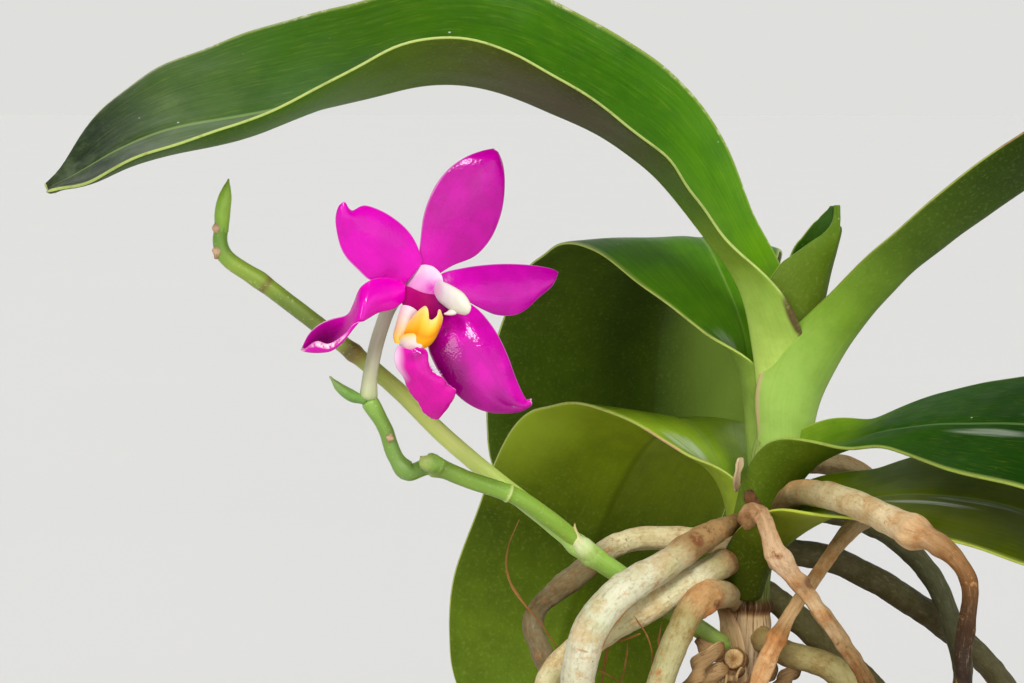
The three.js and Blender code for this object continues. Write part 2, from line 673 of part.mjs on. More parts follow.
// What is left of the plant's old base
const ROOT_STUB = {
  path: [[-2, -4, 118.5], [-3, -8, 119.6], [-3.6, -11, 120.4]],
  radius: [[0, 2.2], [0.5, 2.4], [1, 2.3]],
  steps: 4,
};
const DRY_SHEATH = {
  midrib: [[-5.4, -1, 108], [-5.2, -1.4, 118], [-5.6, -2, 128], [-7, -3, 135]],
  side: [[0, bearing(-90)], [1, bearing(-90)]],
  width: [[0, 10], [0.6, 9], [0.9, 6], [1, 3]],
  left: [10, [[0, 150], [1, 110]]],
  rib: 0.9,
  steps: 6,
};

// Colours and finishes
const FINISH = {
  clay: { color: 0xb5673f, roughness: 0.9 },
  bark: { color: 0x6b4a30, roughness: 0.95 },
  leaf: { color: 0x4f8428, roughness: 0.42 },
  leafPale: { color: 0x86ab4e, roughness: 0.45 },
  root: { color: 0xc8b896, roughness: 0.8 },
  dryRoot: { color: 0xa87c4c, roughness: 0.85 },
  oliveRoot: { color: 0x6c6a3c, roughness: 0.8 },
  oldStem: { color: 0x9a7a4c, roughness: 0.9 },
  spike: { color: 0x86a84a, roughness: 0.5 },
  white: { color: 0xf2ecdc, roughness: 0.4 },
  magenta: { color: 0xb0108c, roughness: 0.3 },
  yellow: { color: 0xf0a830, roughness: 0.4 },
};

function potSolid() {
  const { height, rimRadius, rimHeight, neckRadius, baseRadius, wall, floor, sides } = POT;
  const bevel = 1.5;
  const inner = potInside;
  const profile = [
    [0, 0],
    [baseRadius - bevel, 0],
    [baseRadius, bevel],
    [neckRadius, height - rimHeight],
    [rimRadius - 1, height - rimHeight],
    [rimRadius, height - rimHeight + bevel],
    [rimRadius, height - bevel],
    [rimRadius - bevel, height],
    [inner(height) + bevel, height],
    [inner(height), height - bevel],
    [baseRadius - wall, floor],
    [0, floor],
  ];
  const shell = new THREE.LatheGeometry(profile.map(([r, z]) => new THREE.Vector2(r, z)), sides);
  shell.rotateX(Math.PI / 2);
  const drains = Array.from({ length: DRAIN.count }, (_, i) => {
    const angle = (2 * Math.PI * (i + 0.5)) / DRAIN.count;
    const hole = new THREE.CylinderGeometry(DRAIN.radius, DRAIN.radius, 4 * floor, DRAIN.sides);
    hole.rotateX(Math.PI / 2);
    hole.translate(DRAIN.ring * Math.cos(angle), DRAIN.ring * Math.sin(angle), 0);
    return solidOf(hole);
  });
  return cutBy(solidOf(shell), drains);
}

// Inside radius of the pot at a height
function potInside(z) {
  const bottom = POT.baseRadius - POT.wall;
  const top = POT.rimRadius - 7.5;
  return bottom + ((top - bottom) * (z - POT.floor)) / (POT.height - POT.floor);
}

// Bark medium: a filling that follows the pot, with loose chips lying on its top.
function mediumSolid() {
  const bottom = POT.floor + GAP;
  const edge = MEDIUM.edgeHeight;
  const rings = [0.85, 0.55, 0.25];
  const profile = [
    [0, bottom],
    [potInside(bottom) - GAP, bottom],
    [potInside(edge) - GAP, edge],
    ...rings.map((share) => [share * potInside(edge), edge + MEDIUM.dome * (1 - share ** 2)]),
    [0, edge + MEDIUM.dome],
  ];
  const core = new THREE.LatheGeometry(profile.map(([r, z]) => new THREE.Vector2(r, z)), MEDIUM.sides);
  core.rotateX(Math.PI / 2);
  const roll = dice(CHIPS.seed);
  const between = ([low, high]) => low + (high - low) * roll();
  const chips = Array.from({ length: CHIPS.count }, (_, i) => {
    const length = between(CHIPS.length);
    const width = between(CHIPS.width);
    const thickness = between(CHIPS.thickness);
    const chip = new THREE.BoxGeometry(length, width, thickness);
    const corners = chip.attributes.position;
    for (let k = 0; k < corners.count; k++) {
      const end = corners.getX(k) / length;
      const bend = 1 - 0.5 * Math.abs(end) + 0.2 * Math.sin(5 * i + 9 * end);
      corners.setY(k, corners.getY(k) * bend);
      corners.setZ(k, corners.getZ(k) * (1 - 0.4 * Math.abs(end)) + 0.6 * Math.sin(3 * i + 4 * end));
    }
    chip.rotateX((roll() - 0.5) * 1.1);
    chip.rotateY((roll() - 0.5) * 0.9);
    chip.rotateZ(2 * Math.PI * roll());
    const reach = potInside(edge) - GAP - 0.62 * length;
    const ring = reach * Math.sqrt((i + 0.5) / CHIPS.count);
    const angle = i * Math.PI * (3 - Math.sqrt(5));
    const height = edge + MEDIUM.dome * (1 - (ring / potInside(edge)) ** 2);
    chip.translate(ring * Math.cos(angle), ring * Math.sin(angle), height + 0.25 * thickness);
    return solidOf(chip);
  });
  return joined([solidOf(core), ...chips]);
}

const tubePiece = (spec, finish) => ({
  name: spec.name,
  finish,
  make: (grow) => solidOf(tube(spec, grow)),
});
const bladePiece = (spec, finish) => ({
  name: spec.name,
  finish,
  make: (grow) => solidOf(blade(spec, grow)),
});
const joinedPiece = (name, finish, parts) => ({
  name,
  finish,
  make: (grow) => joined(parts.map((part) => part(grow))),
});

const tepalPiece = (spec) =>
  bladePiece(
    {
      face: [[0, FLOWER.face], [1, FLOWER.face]],
      rib: 1,
      margin: 0.7,
      steps: 8,
      halfSteps: 3,
      ...spec,
    },
    "magenta",
  );

const lobe = (spec) => (grow) =>
  solidOf(
    blade(
      {
        width: [[0, 1.8], [0.4, 2.8], [0.75, 2.3], [1, 0.7]],
        left: [10, 50],
        rib: 1.4,
        steps: 6,
        halfSteps: 2,
        ...spec,
      },
      grow,
    ),
  );

const dryRoots = ["root_dry_front", "root_dry_loop"];
const oliveRoots = ["root_right_olive", "root_right_far", "root_right_under"];
const rootFinish = (name) => {
  if (dryRoots.includes(name)) return "dryRoot";
  return oliveRoots.includes(name) ? "oliveRoot" : "root";
};

// Every piece of the plant, from the inside out: a piece that meets an earlier one is
// cut back to a small clearance round it.
const plant = [
  tubePiece({ name: "stem", ...STEM }, "oldStem"),
  ...ROOTS.map((spec) => tubePiece({ bumps: 0.07, ...spec }, rootFinish(spec.name))),
  tubePiece({ name: "root_cut_stub", ...ROOT_STUB }, "root"),
  joinedPiece("flower_spike", "spike", [
    (grow) => solidOf(tube(SPIKE.pale, grow)),
    (grow) => solidOf(tube(SPIKE.green, grow)),
  ]),
  tubePiece({ name: "spike_tip_bract", ...TIP_BRACT }, "spike"),
  tubePiece({ name: "spike_side_bract", ...SIDE_BRACT }, "spike"),
  tubePiece({ name: "flower_pedicel", ...PEDICEL }, "white"),
  joinedPiece("column", "white", [
    (grow) => solidOf(tube(COLUMN, grow)),
    (grow) => solidOf(tube(COLUMN_FOOT, grow)),
  ]),
  tubePiece({ name: "anther_cap", ...ANTHER_CAP }, "white"),
  joinedPiece("lip_side_lobes", "yellow", [
    (grow) => solidOf(tube(LIP_CLAW, grow)),
    ...LIP_LOBES.map(lobe),
  ]),
  tepalPiece({ name: "lip_midlobe", rib: 1.6, ...LIP_MIDLOBE }),
  ...TEPALS.map(tepalPiece),
  ...LEAVES.map((spec) => bladePiece(spec, "leaf")),
  bladePiece({ name: "dry_sheath", ...DRY_SHEATH }, "oldStem"),
];

const box = (solid, spare) => {
  const { min, max } = solid.boundingBox();
  return { min: min.map((v) => v - spare), max: max.map((v) => v + spare) };
};
const meet = (a, b) => a.min.every((low, i) => low <= b.max[i] && a.max[i] >= b.min[i]);

const group = new THREE.Group();
function place(name, finish, solid) {
  const material = new THREE.MeshStandardMaterial({ metalness: 0, ...FINISH[finish] });
  const mesh = new THREE.Mesh(geometryFrom(solid.simplify(SLIVER)), material);
  mesh.name = name;
  group.add(mesh);
}

const placed = [];
for (const piece of plant) {
  const raw = piece.make(0);
  const reach = box(raw, GAP);
  const inTheWay = placed.filter((other) => meet(reach, other.reach));
  const touching = inTheWay.filter((other) => raw.intersect(other.grown).volume() > 0);
  place(piece.name, piece.finish, cutBy(raw, touching.map((other) => other.grown)));
  placed.push({ grown: piece.make(GAP), reach });
}

place("pot", "clay", potSolid());
place("bark_medium", "bark", cutBy(mediumSolid(), placed.map((piece) => piece.grown)));

export default group;
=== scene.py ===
"""Dresses a potted moth orchid: leaves, aerial roots, flower spike, bloom, bark and clay pot."""

import math
import random

import bpy
import numpy as np
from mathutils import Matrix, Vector, noise


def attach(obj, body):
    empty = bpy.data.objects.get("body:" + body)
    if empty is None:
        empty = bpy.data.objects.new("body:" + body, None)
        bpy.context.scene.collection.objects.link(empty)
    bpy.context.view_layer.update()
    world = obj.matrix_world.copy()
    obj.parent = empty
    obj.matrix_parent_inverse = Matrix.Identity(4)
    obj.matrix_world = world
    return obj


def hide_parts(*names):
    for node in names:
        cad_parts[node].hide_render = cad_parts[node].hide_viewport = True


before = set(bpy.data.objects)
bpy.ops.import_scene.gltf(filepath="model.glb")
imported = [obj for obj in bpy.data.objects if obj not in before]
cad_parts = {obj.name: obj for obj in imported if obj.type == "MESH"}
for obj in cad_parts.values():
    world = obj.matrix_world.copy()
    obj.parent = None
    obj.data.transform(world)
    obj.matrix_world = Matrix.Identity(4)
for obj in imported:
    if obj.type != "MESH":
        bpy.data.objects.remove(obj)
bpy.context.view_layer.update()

MM = 0.001

# The camera: a long lens a little above the bloom, looking slightly down along +Y
PICTURE = (1024, 683)
LENS = 100
SENSOR = 36
TILT = math.radians(5)
AIM = np.array([-50.0, 0.0, 186.0])
DISTANCE = 600
FORWARD = np.array([0, math.cos(TILT), -math.sin(TILT)])
UPWARD = np.array([0, math.sin(TILT), math.cos(TILT)])
EYE = AIM - DISTANCE * FORWARD
BLOOM_FACE = np.array([0.49, -0.85, -0.17])

bpy.ops.object.select_all(action="DESELECT")
bpy.ops.object.camera_add(location=EYE * MM, rotation=(math.pi / 2 - TILT, 0, 0))
camera = bpy.context.object
camera.data.lens = LENS
camera.data.sensor_width = SENSOR
bpy.context.scene.camera = camera
bpy.context.scene.view_settings.view_transform = "Standard"


def seen(u, v, depth):
    """The point in mm that shows at pixel (u, v) of the picture and lies at that Y."""
    focal = PICTURE[0] * LENS / SENSOR
    ray = FORWARD + np.array([1.0, 0, 0]) * (u - PICTURE[0] / 2) / focal
    ray = ray + UPWARD * (PICTURE[1] / 2 - v) / focal
    return EYE + ray * (depth - EYE[1]) / ray[1]


def picked(*rows):
    """Points in mm from rows of (u, v, depth)."""
    return [seen(*row) for row in rows]


def srgb(red, green, blue):
    """A screen colour, 0 to 255, as the linear colour that a shader takes."""
    return tuple((c / 255) ** 2.2 for c in (red, green, blue)) + (1,)


# Smooth runs of values and points

def through(keys, t):
    """Values that run smoothly through (position, value) pairs, without overshoot."""
    if not isinstance(keys, (list, tuple)):
        return np.full(np.shape(t), float(keys))
    where = np.array([k[0] for k in keys], float)
    value = np.array([k[1] for k in keys], float)
    flat = value.ndim == 1
    if flat:
        value = value[:, None]
    rise = np.diff(value, axis=0) / np.diff(where)[:, None]
    slope = np.zeros_like(value)
    before, after = rise[:-1], rise[1:]
    same = before * after > 0
    total = np.where(same, before + after, 1)
    slope[1:-1] = np.where(same, 2 * before * after / total, 0)
    t = np.clip(t, where[0], where[-1])
    i = np.clip(np.searchsorted(where, t, side="right") - 1, 0, len(where) - 2)
    span = (where[i + 1] - where[i])[:, None]
    x = (t - where[i])[:, None] / span
    out = (2 * x**3 - 3 * x**2 + 1) * value[i]
    out += (x**3 - 2 * x**2 + x) * span * slope[i]
    out += (3 * x**2 - 2 * x**3) * value[i + 1]
    out += (x**3 - x**2) * span * slope[i + 1]
    return out[:, 0] if flat else out


def unit(vectors):
    return vectors / np.maximum(np.linalg.norm(vectors, axis=-1, keepdims=True), 1e-9)


SPAN_SAMPLES = 24


def dense_line(points):
    """A smooth line through points, closely sampled, with each sample's share of its length."""
    p = np.array(points, float)
    p = np.vstack([2 * p[0] - p[1], p, 2 * p[-1] - p[-2]])
    samples = []
    for a, b, c, d in zip(p, p[1:], p[2:], p[3:]):
        first, middle, last = (math.sqrt(np.linalg.norm(y - x)) or 1 for x, y in ((a, b), (b, c), (c, d)))
        start = ((b - a) / first - (c - a) / (first + middle) + (c - b) / middle) * middle
        end = ((c - b) / middle - (d - b) / (middle + last) + (d - c) / last) * middle
        x = np.linspace(0, 1, SPAN_SAMPLES, endpoint=False)[:, None]
        samples.append((2 * x**3 - 3 * x**2 + 1) * b + (x**3 - 2 * x**2 + x) * start
                       + (3 * x**2 - 2 * x**3) * c + (x**3 - x**2) * end)
    line = np.vstack([*samples, p[-2]])
    length = np.concatenate([[0], np.cumsum(np.linalg.norm(np.diff(line, axis=0), axis=1))])
    return line, length / length[-1]


def trace(points, t):
    """The places and directions at shares t of the smooth line's length."""
    line, share = dense_line(points)
    step = 0.004

    def at(s):
        return np.stack([np.interp(s, share, line[:, k]) for k in range(3)], -1)

    ahead = unit(at(np.clip(t + step, 0, 1)) - at(np.clip(t - step, 0, 1)))
    return at(t), ahead


def carried_frames(points, rows):
    """Two directions across a line at each row, turned as little as possible on the way."""
    _, ahead = trace(points, np.linspace(0, 1, rows))
    start = np.array([0.0, 0, 1]) if abs(ahead[0][2]) < 0.8 else np.array([1.0, 0, 0])
    across = unit(np.cross(ahead[0], start))
    first = []
    for direction in ahead:
        across = unit(across - direction * (across @ direction))
        first.append(across)
    first = np.array(first)
    return first, np.cross(ahead, first)


def lumps(points, size, seed=0):
    """A smooth random value, -1 to 1, at each point; size is that of a lump in mm."""
    offset = Vector((7.1 * seed, 3.7 * seed, 1.3 * seed))
    return np.array([noise.noise(Vector(p) / size + offset) for p in points])


# Pieces and how they are made

def alone(piece):
    bpy.ops.object.select_all(action="DESELECT")
    piece.select_set(True)
    bpy.context.view_layer.objects.active = piece


def flat_sheet(name, columns, rows):
    """A flat grid with a UV map, and each vertex's share across and along it."""
    bpy.ops.object.select_all(action="DESELECT")
    bpy.ops.mesh.primitive_grid_add(x_subdivisions=columns, y_subdivisions=rows, size=1)
    piece = bpy.context.object
    piece.name = name
    piece.data.name = name
    co = corners(piece) + 0.5
    return piece, co[:, 0], co[:, 1]


def corners(piece):
    co = np.empty(len(piece.data.vertices) * 3)
    piece.data.vertices.foreach_get("co", co)
    return co.reshape(-1, 3)


def shape(piece, points):
    """Moves the piece's vertices to points given in mm."""
    piece.data.vertices.foreach_set("co", (np.asarray(points) * MM).astype(np.float32).ravel())
    piece.data.update()


def modify(piece, kind, **settings):
    alone(piece)
    modifier = piece.modifiers.new(kind.title(), kind)
    for key, value in settings.items():
        setattr(modifier, key, value)
    bpy.ops.object.modifier_apply(modifier=modifier.name)


def soften(piece):
    modify(piece, "SUBSURF", levels=1, render_levels=1)


def close_seams(piece):
    alone(piece)
    bpy.ops.object.mode_set(mode="EDIT")
    bpy.ops.mesh.select_all(action="SELECT")
    bpy.ops.mesh.remove_doubles(threshold=1e-6)
    bpy.ops.mesh.normals_make_consistent(inside=False)
    bpy.ops.object.mode_set(mode="OBJECT")


def paint(piece, *materials):
    piece.data.materials.clear()
    for material in materials:
        piece.data.materials.append(material)


def fuse(name, pieces):
    """Joins pieces that are one body on the plant into one piece."""
    alone(pieces[0])
    for piece in pieces:
        piece.select_set(True)
    bpy.context.view_layer.objects.active = pieces[0]
    bpy.ops.object.join()
    whole = bpy.context.object
    whole.name = name
    whole.data.name = name
    return whole


def settle(piece, slot, *nodes):
    """Smooths the piece, lets it ride on the plant, and hides the CAD nodes it stands for."""
    alone(piece)
    bpy.ops.object.shade_smooth()
    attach(piece, "root")
    if nodes:
        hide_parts(*nodes)


def thicken(piece, thickness, thin=None, under=0, edge=0):
    """Gives a sheet its thickness below its face; thin is a weight from 0, thinnest, to 1."""
    settings = {"thickness": thickness * MM, "offset": -1, "use_even_offset": False}
    settings.update(material_offset=under, material_offset_rim=edge)
    if thin is not None:
        least, weights = thin
        group = piece.vertex_groups.new(name="thickness")
        for i, weight in enumerate(weights):
            group.add([i], float(weight), "REPLACE")
        settings.update(vertex_group="thickness", thickness_vertex_group=least)
    modify(piece, "SOLIDIFY", **settings)
    piece.vertex_groups.clear()


def tube(name, path, radius, sides=18, rows=70, relief=None, flatten=1.0):
    """A closed tube along a path, with domed ends; relief adds mm by share, angle and place."""
    dome = 3
    bulge = 0.55
    stations = 200
    piece, across, along = flat_sheet(name, sides, rows)
    row = along * rows
    t = np.clip((row - dome) / (rows - 2 * dome), 0, 1)
    centre, ahead = trace(path, t)
    first, second = carried_frames(path, stations)
    pick = np.round(t * (stations - 1)).astype(int)
    angle = 2 * np.pi * across
    out = np.cos(angle)[:, None] * first[pick] + flatten * np.sin(angle)[:, None] * second[pick]
    size = through(radius, t)
    rise = np.ones_like(t)
    shift = np.zeros_like(t)
    for inside, end, sign in ((row < dome, 0, -1), (row > rows - dome, rows, 1)):
        phi = np.abs(row[inside] - end) / dome * np.pi / 2
        rise[inside] = np.sin(phi)
        shift[inside] = bulge * sign * np.cos(phi)
    points = centre + out * (size * rise)[:, None] + ahead * (size * shift)[:, None]
    if relief:
        points = points + out * (relief(t, angle, points) * rise)[:, None]
    shape(piece, points)
    close_seams(piece)
    return piece


def dressed_tube(node, slot, skin, path, radius, sides, rows, relief, flatten=1.0):
    """A tube that stands for one node of the plant."""
    piece = tube(node + "_dressed", path, radius, sides, rows, relief, flatten)
    paint(piece, skin)
    settle(piece, slot, node)


def blade_points(spec, across, along):
    """Where a flat sheet's vertices go on a leaf: across 0 is its left edge, 1 its right."""
    signed = 1 - 2 * across
    share = np.abs(signed)
    sign = np.where(signed < 0, -1, 1)
    centre, ahead = trace(spec["midrib"], along)
    side = through(spec["side"], along)
    side = unit(side - ahead * np.sum(side * ahead, -1, keepdims=True))
    up = np.cross(ahead, side)
    if "roll" in spec:
        roll = np.radians(through(spec["roll"], along))[:, None]
        side, up = side * np.cos(roll) + up * np.sin(roll), up * np.cos(roll) - side * np.sin(roll)
    right = spec.get("right", spec["left"])
    reach = np.where(sign > 0, through(spec["width"], along),
                     through(spec.get("right_width", spec["width"]), along))
    start = np.radians(np.where(sign > 0, through(spec["left"][0], along), through(right[0], along)))
    end = np.radians(np.where(sign > 0, through(spec["left"][1], along), through(right[1], along)))
    turn = end - start
    turn = np.where(np.abs(turn) < 1e-3, 1e-3, turn)
    angle = start + turn * share
    out = reach * (np.sin(angle) - np.sin(start)) / turn
    rise = reach * (np.cos(start) - np.cos(angle)) / turn
    normal = up * np.cos(angle)[:, None] - side * (sign * np.sin(angle))[:, None]
    points = centre + side * (sign * out)[:, None] + up * rise[:, None]
    return points, normal, share


# Painting: short ways to build a material's nodes

def darker(colour, share):
    return tuple(round(c * share) for c in colour)


class Finish:
    """One material while it is being built; colour is what has been laid on so far."""

    def __init__(self, name, roughness=0.5, stops=None, **fixed):
        self.material = bpy.data.materials.new(name)
        self.material.use_nodes = True
        self.nodes = self.material.node_tree.nodes
        self.links = self.material.node_tree.links
        self.shader = self.nodes["Principled BSDF"]
        self.shader.inputs["Roughness"].default_value = roughness
        for key, value in fixed.items():
            self.shader.inputs[key.replace("_", " ")].default_value = value
        self.place = self.nodes.new("ShaderNodeTexCoord")
        self.across, self.along = self.parts("UV")[:2]
        self.colour = self.ramp(self.along, stops) if stops else None

    def parts(self, kind):
        split = self.nodes.new("ShaderNodeSeparateXYZ")
        self.links.new(self.place.outputs[kind], split.inputs[0])
        return list(split.outputs)

    def feed(self, socket, value):
        if isinstance(value, bpy.types.NodeSocket):
            self.links.new(value, socket)
        else:
            socket.default_value = value

    def math(self, kind, a, b=0.0):
        node = self.nodes.new("ShaderNodeMath")
        node.operation = kind
        self.feed(node.inputs[0], a)
        self.feed(node.inputs[1], b)
        return node.outputs[0]

    def times(self, *values):
        product = values[0]
        for value in values[1:]:
            product = self.math("MULTIPLY", product, value)
        return product

    def from_edge(self):
        """The distance to the nearer side edge, in shares of the width."""
        return self.math("MINIMUM", self.across, self.math("SUBTRACT", 1.0, self.across))

    def from_middle(self):
        return self.math("ABSOLUTE", self.math("SUBTRACT", self.across, 0.5))

    def stretched(self, across, along, kind="UV"):
        node = self.nodes.new("ShaderNodeMapping")
        self.links.new(self.place.outputs[kind], node.inputs["Vector"])
        node.inputs["Scale"].default_value = (across, along, 1)
        return node.outputs[0]

    def wrapped(self, around, along):
        """Coordinates on a tube that meet without a seam, in cells around its middle and along it."""
        turn = self.math("MULTIPLY", self.across, 2 * math.pi)
        reach = around / (2 * math.pi)
        node = self.nodes.new("ShaderNodeCombineXYZ")
        self.links.new(self.times(self.math("COSINE", turn), reach), node.inputs[0])
        self.links.new(self.times(self.math("SINE", turn), reach), node.inputs[1])
        self.links.new(self.times(self.along, along), node.inputs[2])
        return node.outputs[0]

    def noise(self, size, detail=3, rough=0.5, vector=None, seed=0.0):
        """Noise from 0 to 1; size is in mm on Object coordinates, or in the vector's own units."""
        node = self.nodes.new("ShaderNodeTexNoise")
        node.noise_dimensions = "4D"
        node.inputs["W"].default_value = seed
        node.inputs["Scale"].default_value = 1 / (size * MM) if vector is None else 1 / size
        node.inputs["Detail"].default_value = detail
        node.inputs["Roughness"].default_value = rough
        self.links.new(vector or self.place.outputs["Object"], node.inputs["Vector"])
        return node.outputs["Fac"]

    def spots(self, size):
        """Distance to the nearest of many scattered points."""
        node = self.nodes.new("ShaderNodeTexVoronoi")
        node.voronoi_dimensions = "4D"
        node.inputs["Scale"].default_value = 1 / (size * MM)
        self.links.new(self.place.outputs["Object"], node.inputs["Vector"])
        return node.outputs["Distance"]

    def between(self, value, low, high, to_low=0.0, to_high=1.0):
        """A smooth step of value from low to high."""
        node = self.nodes.new("ShaderNodeMapRange")
        node.interpolation_type = "SMOOTHSTEP"
        self.feed(node.inputs["Value"], value)
        node.inputs["From Min"].default_value = low
        node.inputs["From Max"].default_value = high
        node.inputs["To Min"].default_value = to_low
        node.inputs["To Max"].default_value = to_high
        return node.outputs["Result"]

    def near(self, u, v, reach_u, reach_v, soft):
        """1 at a place on the UV map, falling to 0 at an oval's edge."""
        x = self.math("MULTIPLY", self.math("SUBTRACT", self.across, u), 1 / reach_u)
        y = self.math("MULTIPLY", self.math("SUBTRACT", self.along, v), 1 / reach_v)
        away = self.math("SQRT", self.math("ADD", self.times(x, x), self.times(y, y)))
        return self.between(away, 1, 1 - soft)

    def ramp(self, value, stops):
        """Colours from rows of (position, red, green, blue)."""
        node = self.nodes.new("ShaderNodeValToRGB")
        elements = node.color_ramp.elements
        elements.remove(elements[-1])
        elements[0].position, elements[0].color = stops[0][0], srgb(*stops[0][1:])
        for position, *colour in stops[1:]:
            elements.new(position).color = srgb(*colour)
        self.feed(node.inputs["Fac"], value)
        return node.outputs["Color"]

    def mix(self, share, a, b, kind="MIX"):
        node = self.nodes.new("ShaderNodeMix")
        node.data_type = "RGBA"
        node.blend_type = kind
        node.clamp_factor = True
        self.feed(node.inputs["Factor"], share)
        for socket, colour in ((node.inputs[6], a), (node.inputs[7], b)):
            self.feed(socket, srgb(*colour) if isinstance(colour, tuple) else colour)
        return node.outputs[2]

    def over(self, share, tone, kind="MIX"):
        """Lays a tone over the colour so far, or that colour multiplied or screened with the tone."""
        if kind != "MIX":
            tone = self.mix(1.0, self.colour, tone, kind)
        self.colour = self.mix(share, self.colour, tone)

    def places(self, rows, soft, ragged=None, tone=None):
        """Lays ovals over the colour, from rows of (u, v, reach u, reach v, strength, its own tone)."""
        for u, v, reach_u, reach_v, strength, *own in rows:
            share = self.near(u, v, reach_u, reach_v, soft)
            if ragged:
                share = self.times(share, ragged(u, v))
            self.over(self.times(share, strength), own[0] if own else tone)

    def dead(self, rows):
        """Brown or straw-coloured dead tissue."""
        self.places(rows, 0.4, lambda u, v: self.between(self.noise(1.4, 4, 0.7, seed=v), 0.3, 0.5, 0.5, 1))

    def finish(self, roughness=None, *bumps):
        """Joins the colour, the roughness and a chain of (height, strength, mm) bumps."""
        self.feed(self.shader.inputs["Base Color"], self.colour)
        if roughness is not None:
            self.feed(self.shader.inputs["Roughness"], roughness)
        last = None
        for height, strength, depth in bumps:
            node = self.nodes.new("ShaderNodeBump")
            node.inputs["Strength"].default_value = strength
            node.inputs["Distance"].default_value = depth * MM
            self.links.new(height, node.inputs["Height"])
            if last:
                self.links.new(last, node.inputs["Normal"])
            last = node.outputs["Normal"]
        if last:
            self.links.new(last, self.shader.inputs["Normal"])
        return self.material


def leaf_upper(name, stops, dust=0.2, dust_from=2.0, streaks=0.35, water_marks_and_sheen=(), rough=0.36,
               crust=0.0, midrib=(150, 178, 92), midrib_share=0.35, shine=0.18):
    """The glossy upper face of a leaf, with parallel veins, a pale midrib line that is partly painted
    highlight, dust, and pale patches that are partly water stains and partly painted sheen.
    """
    f = Finish(name, rough, stops, Specular_IOR_Level=shine)
    veins = f.noise(1, 5, 0.6, f.stretched(64, 1.4))
    f.over(f.between(veins, 0.35, 0.7, 0, streaks), (176, 206, 120), "MULTIPLY")
    f.over(f.between(f.noise(11, 5, 0.6), 0.4, 0.65, 0, 0.4), (150, 190, 120), "MULTIPLY")
    flecks = f.noise(1, 3, 0.6, f.stretched(90, 34), seed=3.0)
    f.over(f.between(flecks, 0.5, 0.75, 0, 0.05), (225, 240, 80), "SCREEN")
    # A pale line down the midrib, partly its own paler colour and partly painted highlight.
    line = f.between(f.from_middle(), 0.014, 0.004)
    f.over(f.times(line, f.between(f.along, 0.12, 0.3, 0, midrib_share)), midrib)
    film = f.times(f.noise(9, 6, 0.7), f.between(f.along, dust_from - 0.25, dust_from + 0.2, 0.25, 1))
    film = f.between(film, 0.42, 0.85, 0, dust)
    f.over(film, (160, 182, 128))
    specks = f.between(f.spots(2.6), 0.13, 0.05)
    few = f.between(f.noise(7, 2, seed=4.0), 0.5, 0.62)
    f.over(f.times(specks, few, 0.55), (214, 222, 196))
    scratches = f.between(f.noise(1, 2, 0.5, f.stretched(9, 160)), 0.74, 0.8, 0, 0.35)
    f.over(f.times(scratches, f.noise(20, 2)), (190, 205, 165))
    edge = f.from_edge()
    f.over(f.between(edge, 0.03, 0.004, 0, 0.5), (176, 190, 96))
    if crust:
        flakes = f.between(f.noise(2.2, 5, 0.7), 0.5, 0.62)
        f.over(f.times(f.between(edge, 0.028, 0.006), flakes, crust), (206, 200, 170))
    # Pale ragged patches: partly water stains, partly painted sheen.
    torn = lambda u, v: f.between(f.noise(1, 4, 0.6, f.stretched(30, 9), seed=u), 0.3, 0.6)
    f.places(water_marks_and_sheen, 0.6, torn, (198, 206, 186))
    gloss = f.math("ADD", f.times(film, 0.4), f.between(f.noise(5, 4), 0.3, 0.8, rough - 0.06, rough + 0.1))
    return f.finish(gloss, (veins, 0.25, 0.25), (f.noise(6, 3), 0.35, 0.5), (f.noise(0.5, 2), 0.12, 0.05))


def leaf_under(name, stops, flush=(), mottle=0.4, scars=(), painted_light_and_shade=()):
    """The matt under face of a leaf; flush gives ovals of purple on it, and some ovals lay painted shade
    and painted light on it.
    """
    f = Finish(name, 0.55, stops, Specular_IOR_Level=0.12)
    f.over(f.between(f.noise(8, 5, 0.65), 0.35, 0.7, 0, mottle), (165, 175, 120), "MULTIPLY")
    grains = f.noise(0.8, 4, 0.65)
    f.over(f.between(grains, 0.5, 0.72, 0, 0.2), (150, 166, 84))
    streaks = f.noise(1, 3, 0.5, f.stretched(60, 3))
    f.over(f.between(streaks, 0.45, 0.7, 0, 0.2), (205, 220, 160), "MULTIPLY")
    f.over(f.times(f.between(f.spots(4.2), 0.07, 0.03), 0.35), (186, 196, 140))
    # Ovals of painted shade and painted light.
    f.places(painted_light_and_shade, 0.95)
    f.places(flush, 0.9, lambda u, v: f.between(f.noise(6, 3), 0.25, 0.6, 0.6, 1), (84, 54, 44))
    f.over(f.times(f.between(f.from_middle(), 0.02, 0.0), 0.35), (60, 72, 20))
    f.dead(scars)
    return f.finish(None, (grains, 0.2, 0.08), (streaks, 0.2, 0.2), (f.noise(5, 3), 0.3, 0.4))


def leaf_edge(name, colour, spots, burns):
    """The thin rounded edge of a leaf, with brown spots and dead stretches."""
    f = Finish(name)
    f.colour = colour
    f.over(f.between(f.noise(3, 4, 0.6), 0.5, 0.7, 0, 0.5), darker(colour, 0.72))
    f.over(f.between(f.noise(2.4, 4, 0.6, seed=2.0), 0.56, 0.68, 0, spots), (120, 92, 50))
    f.dead(burns)
    return f.finish()


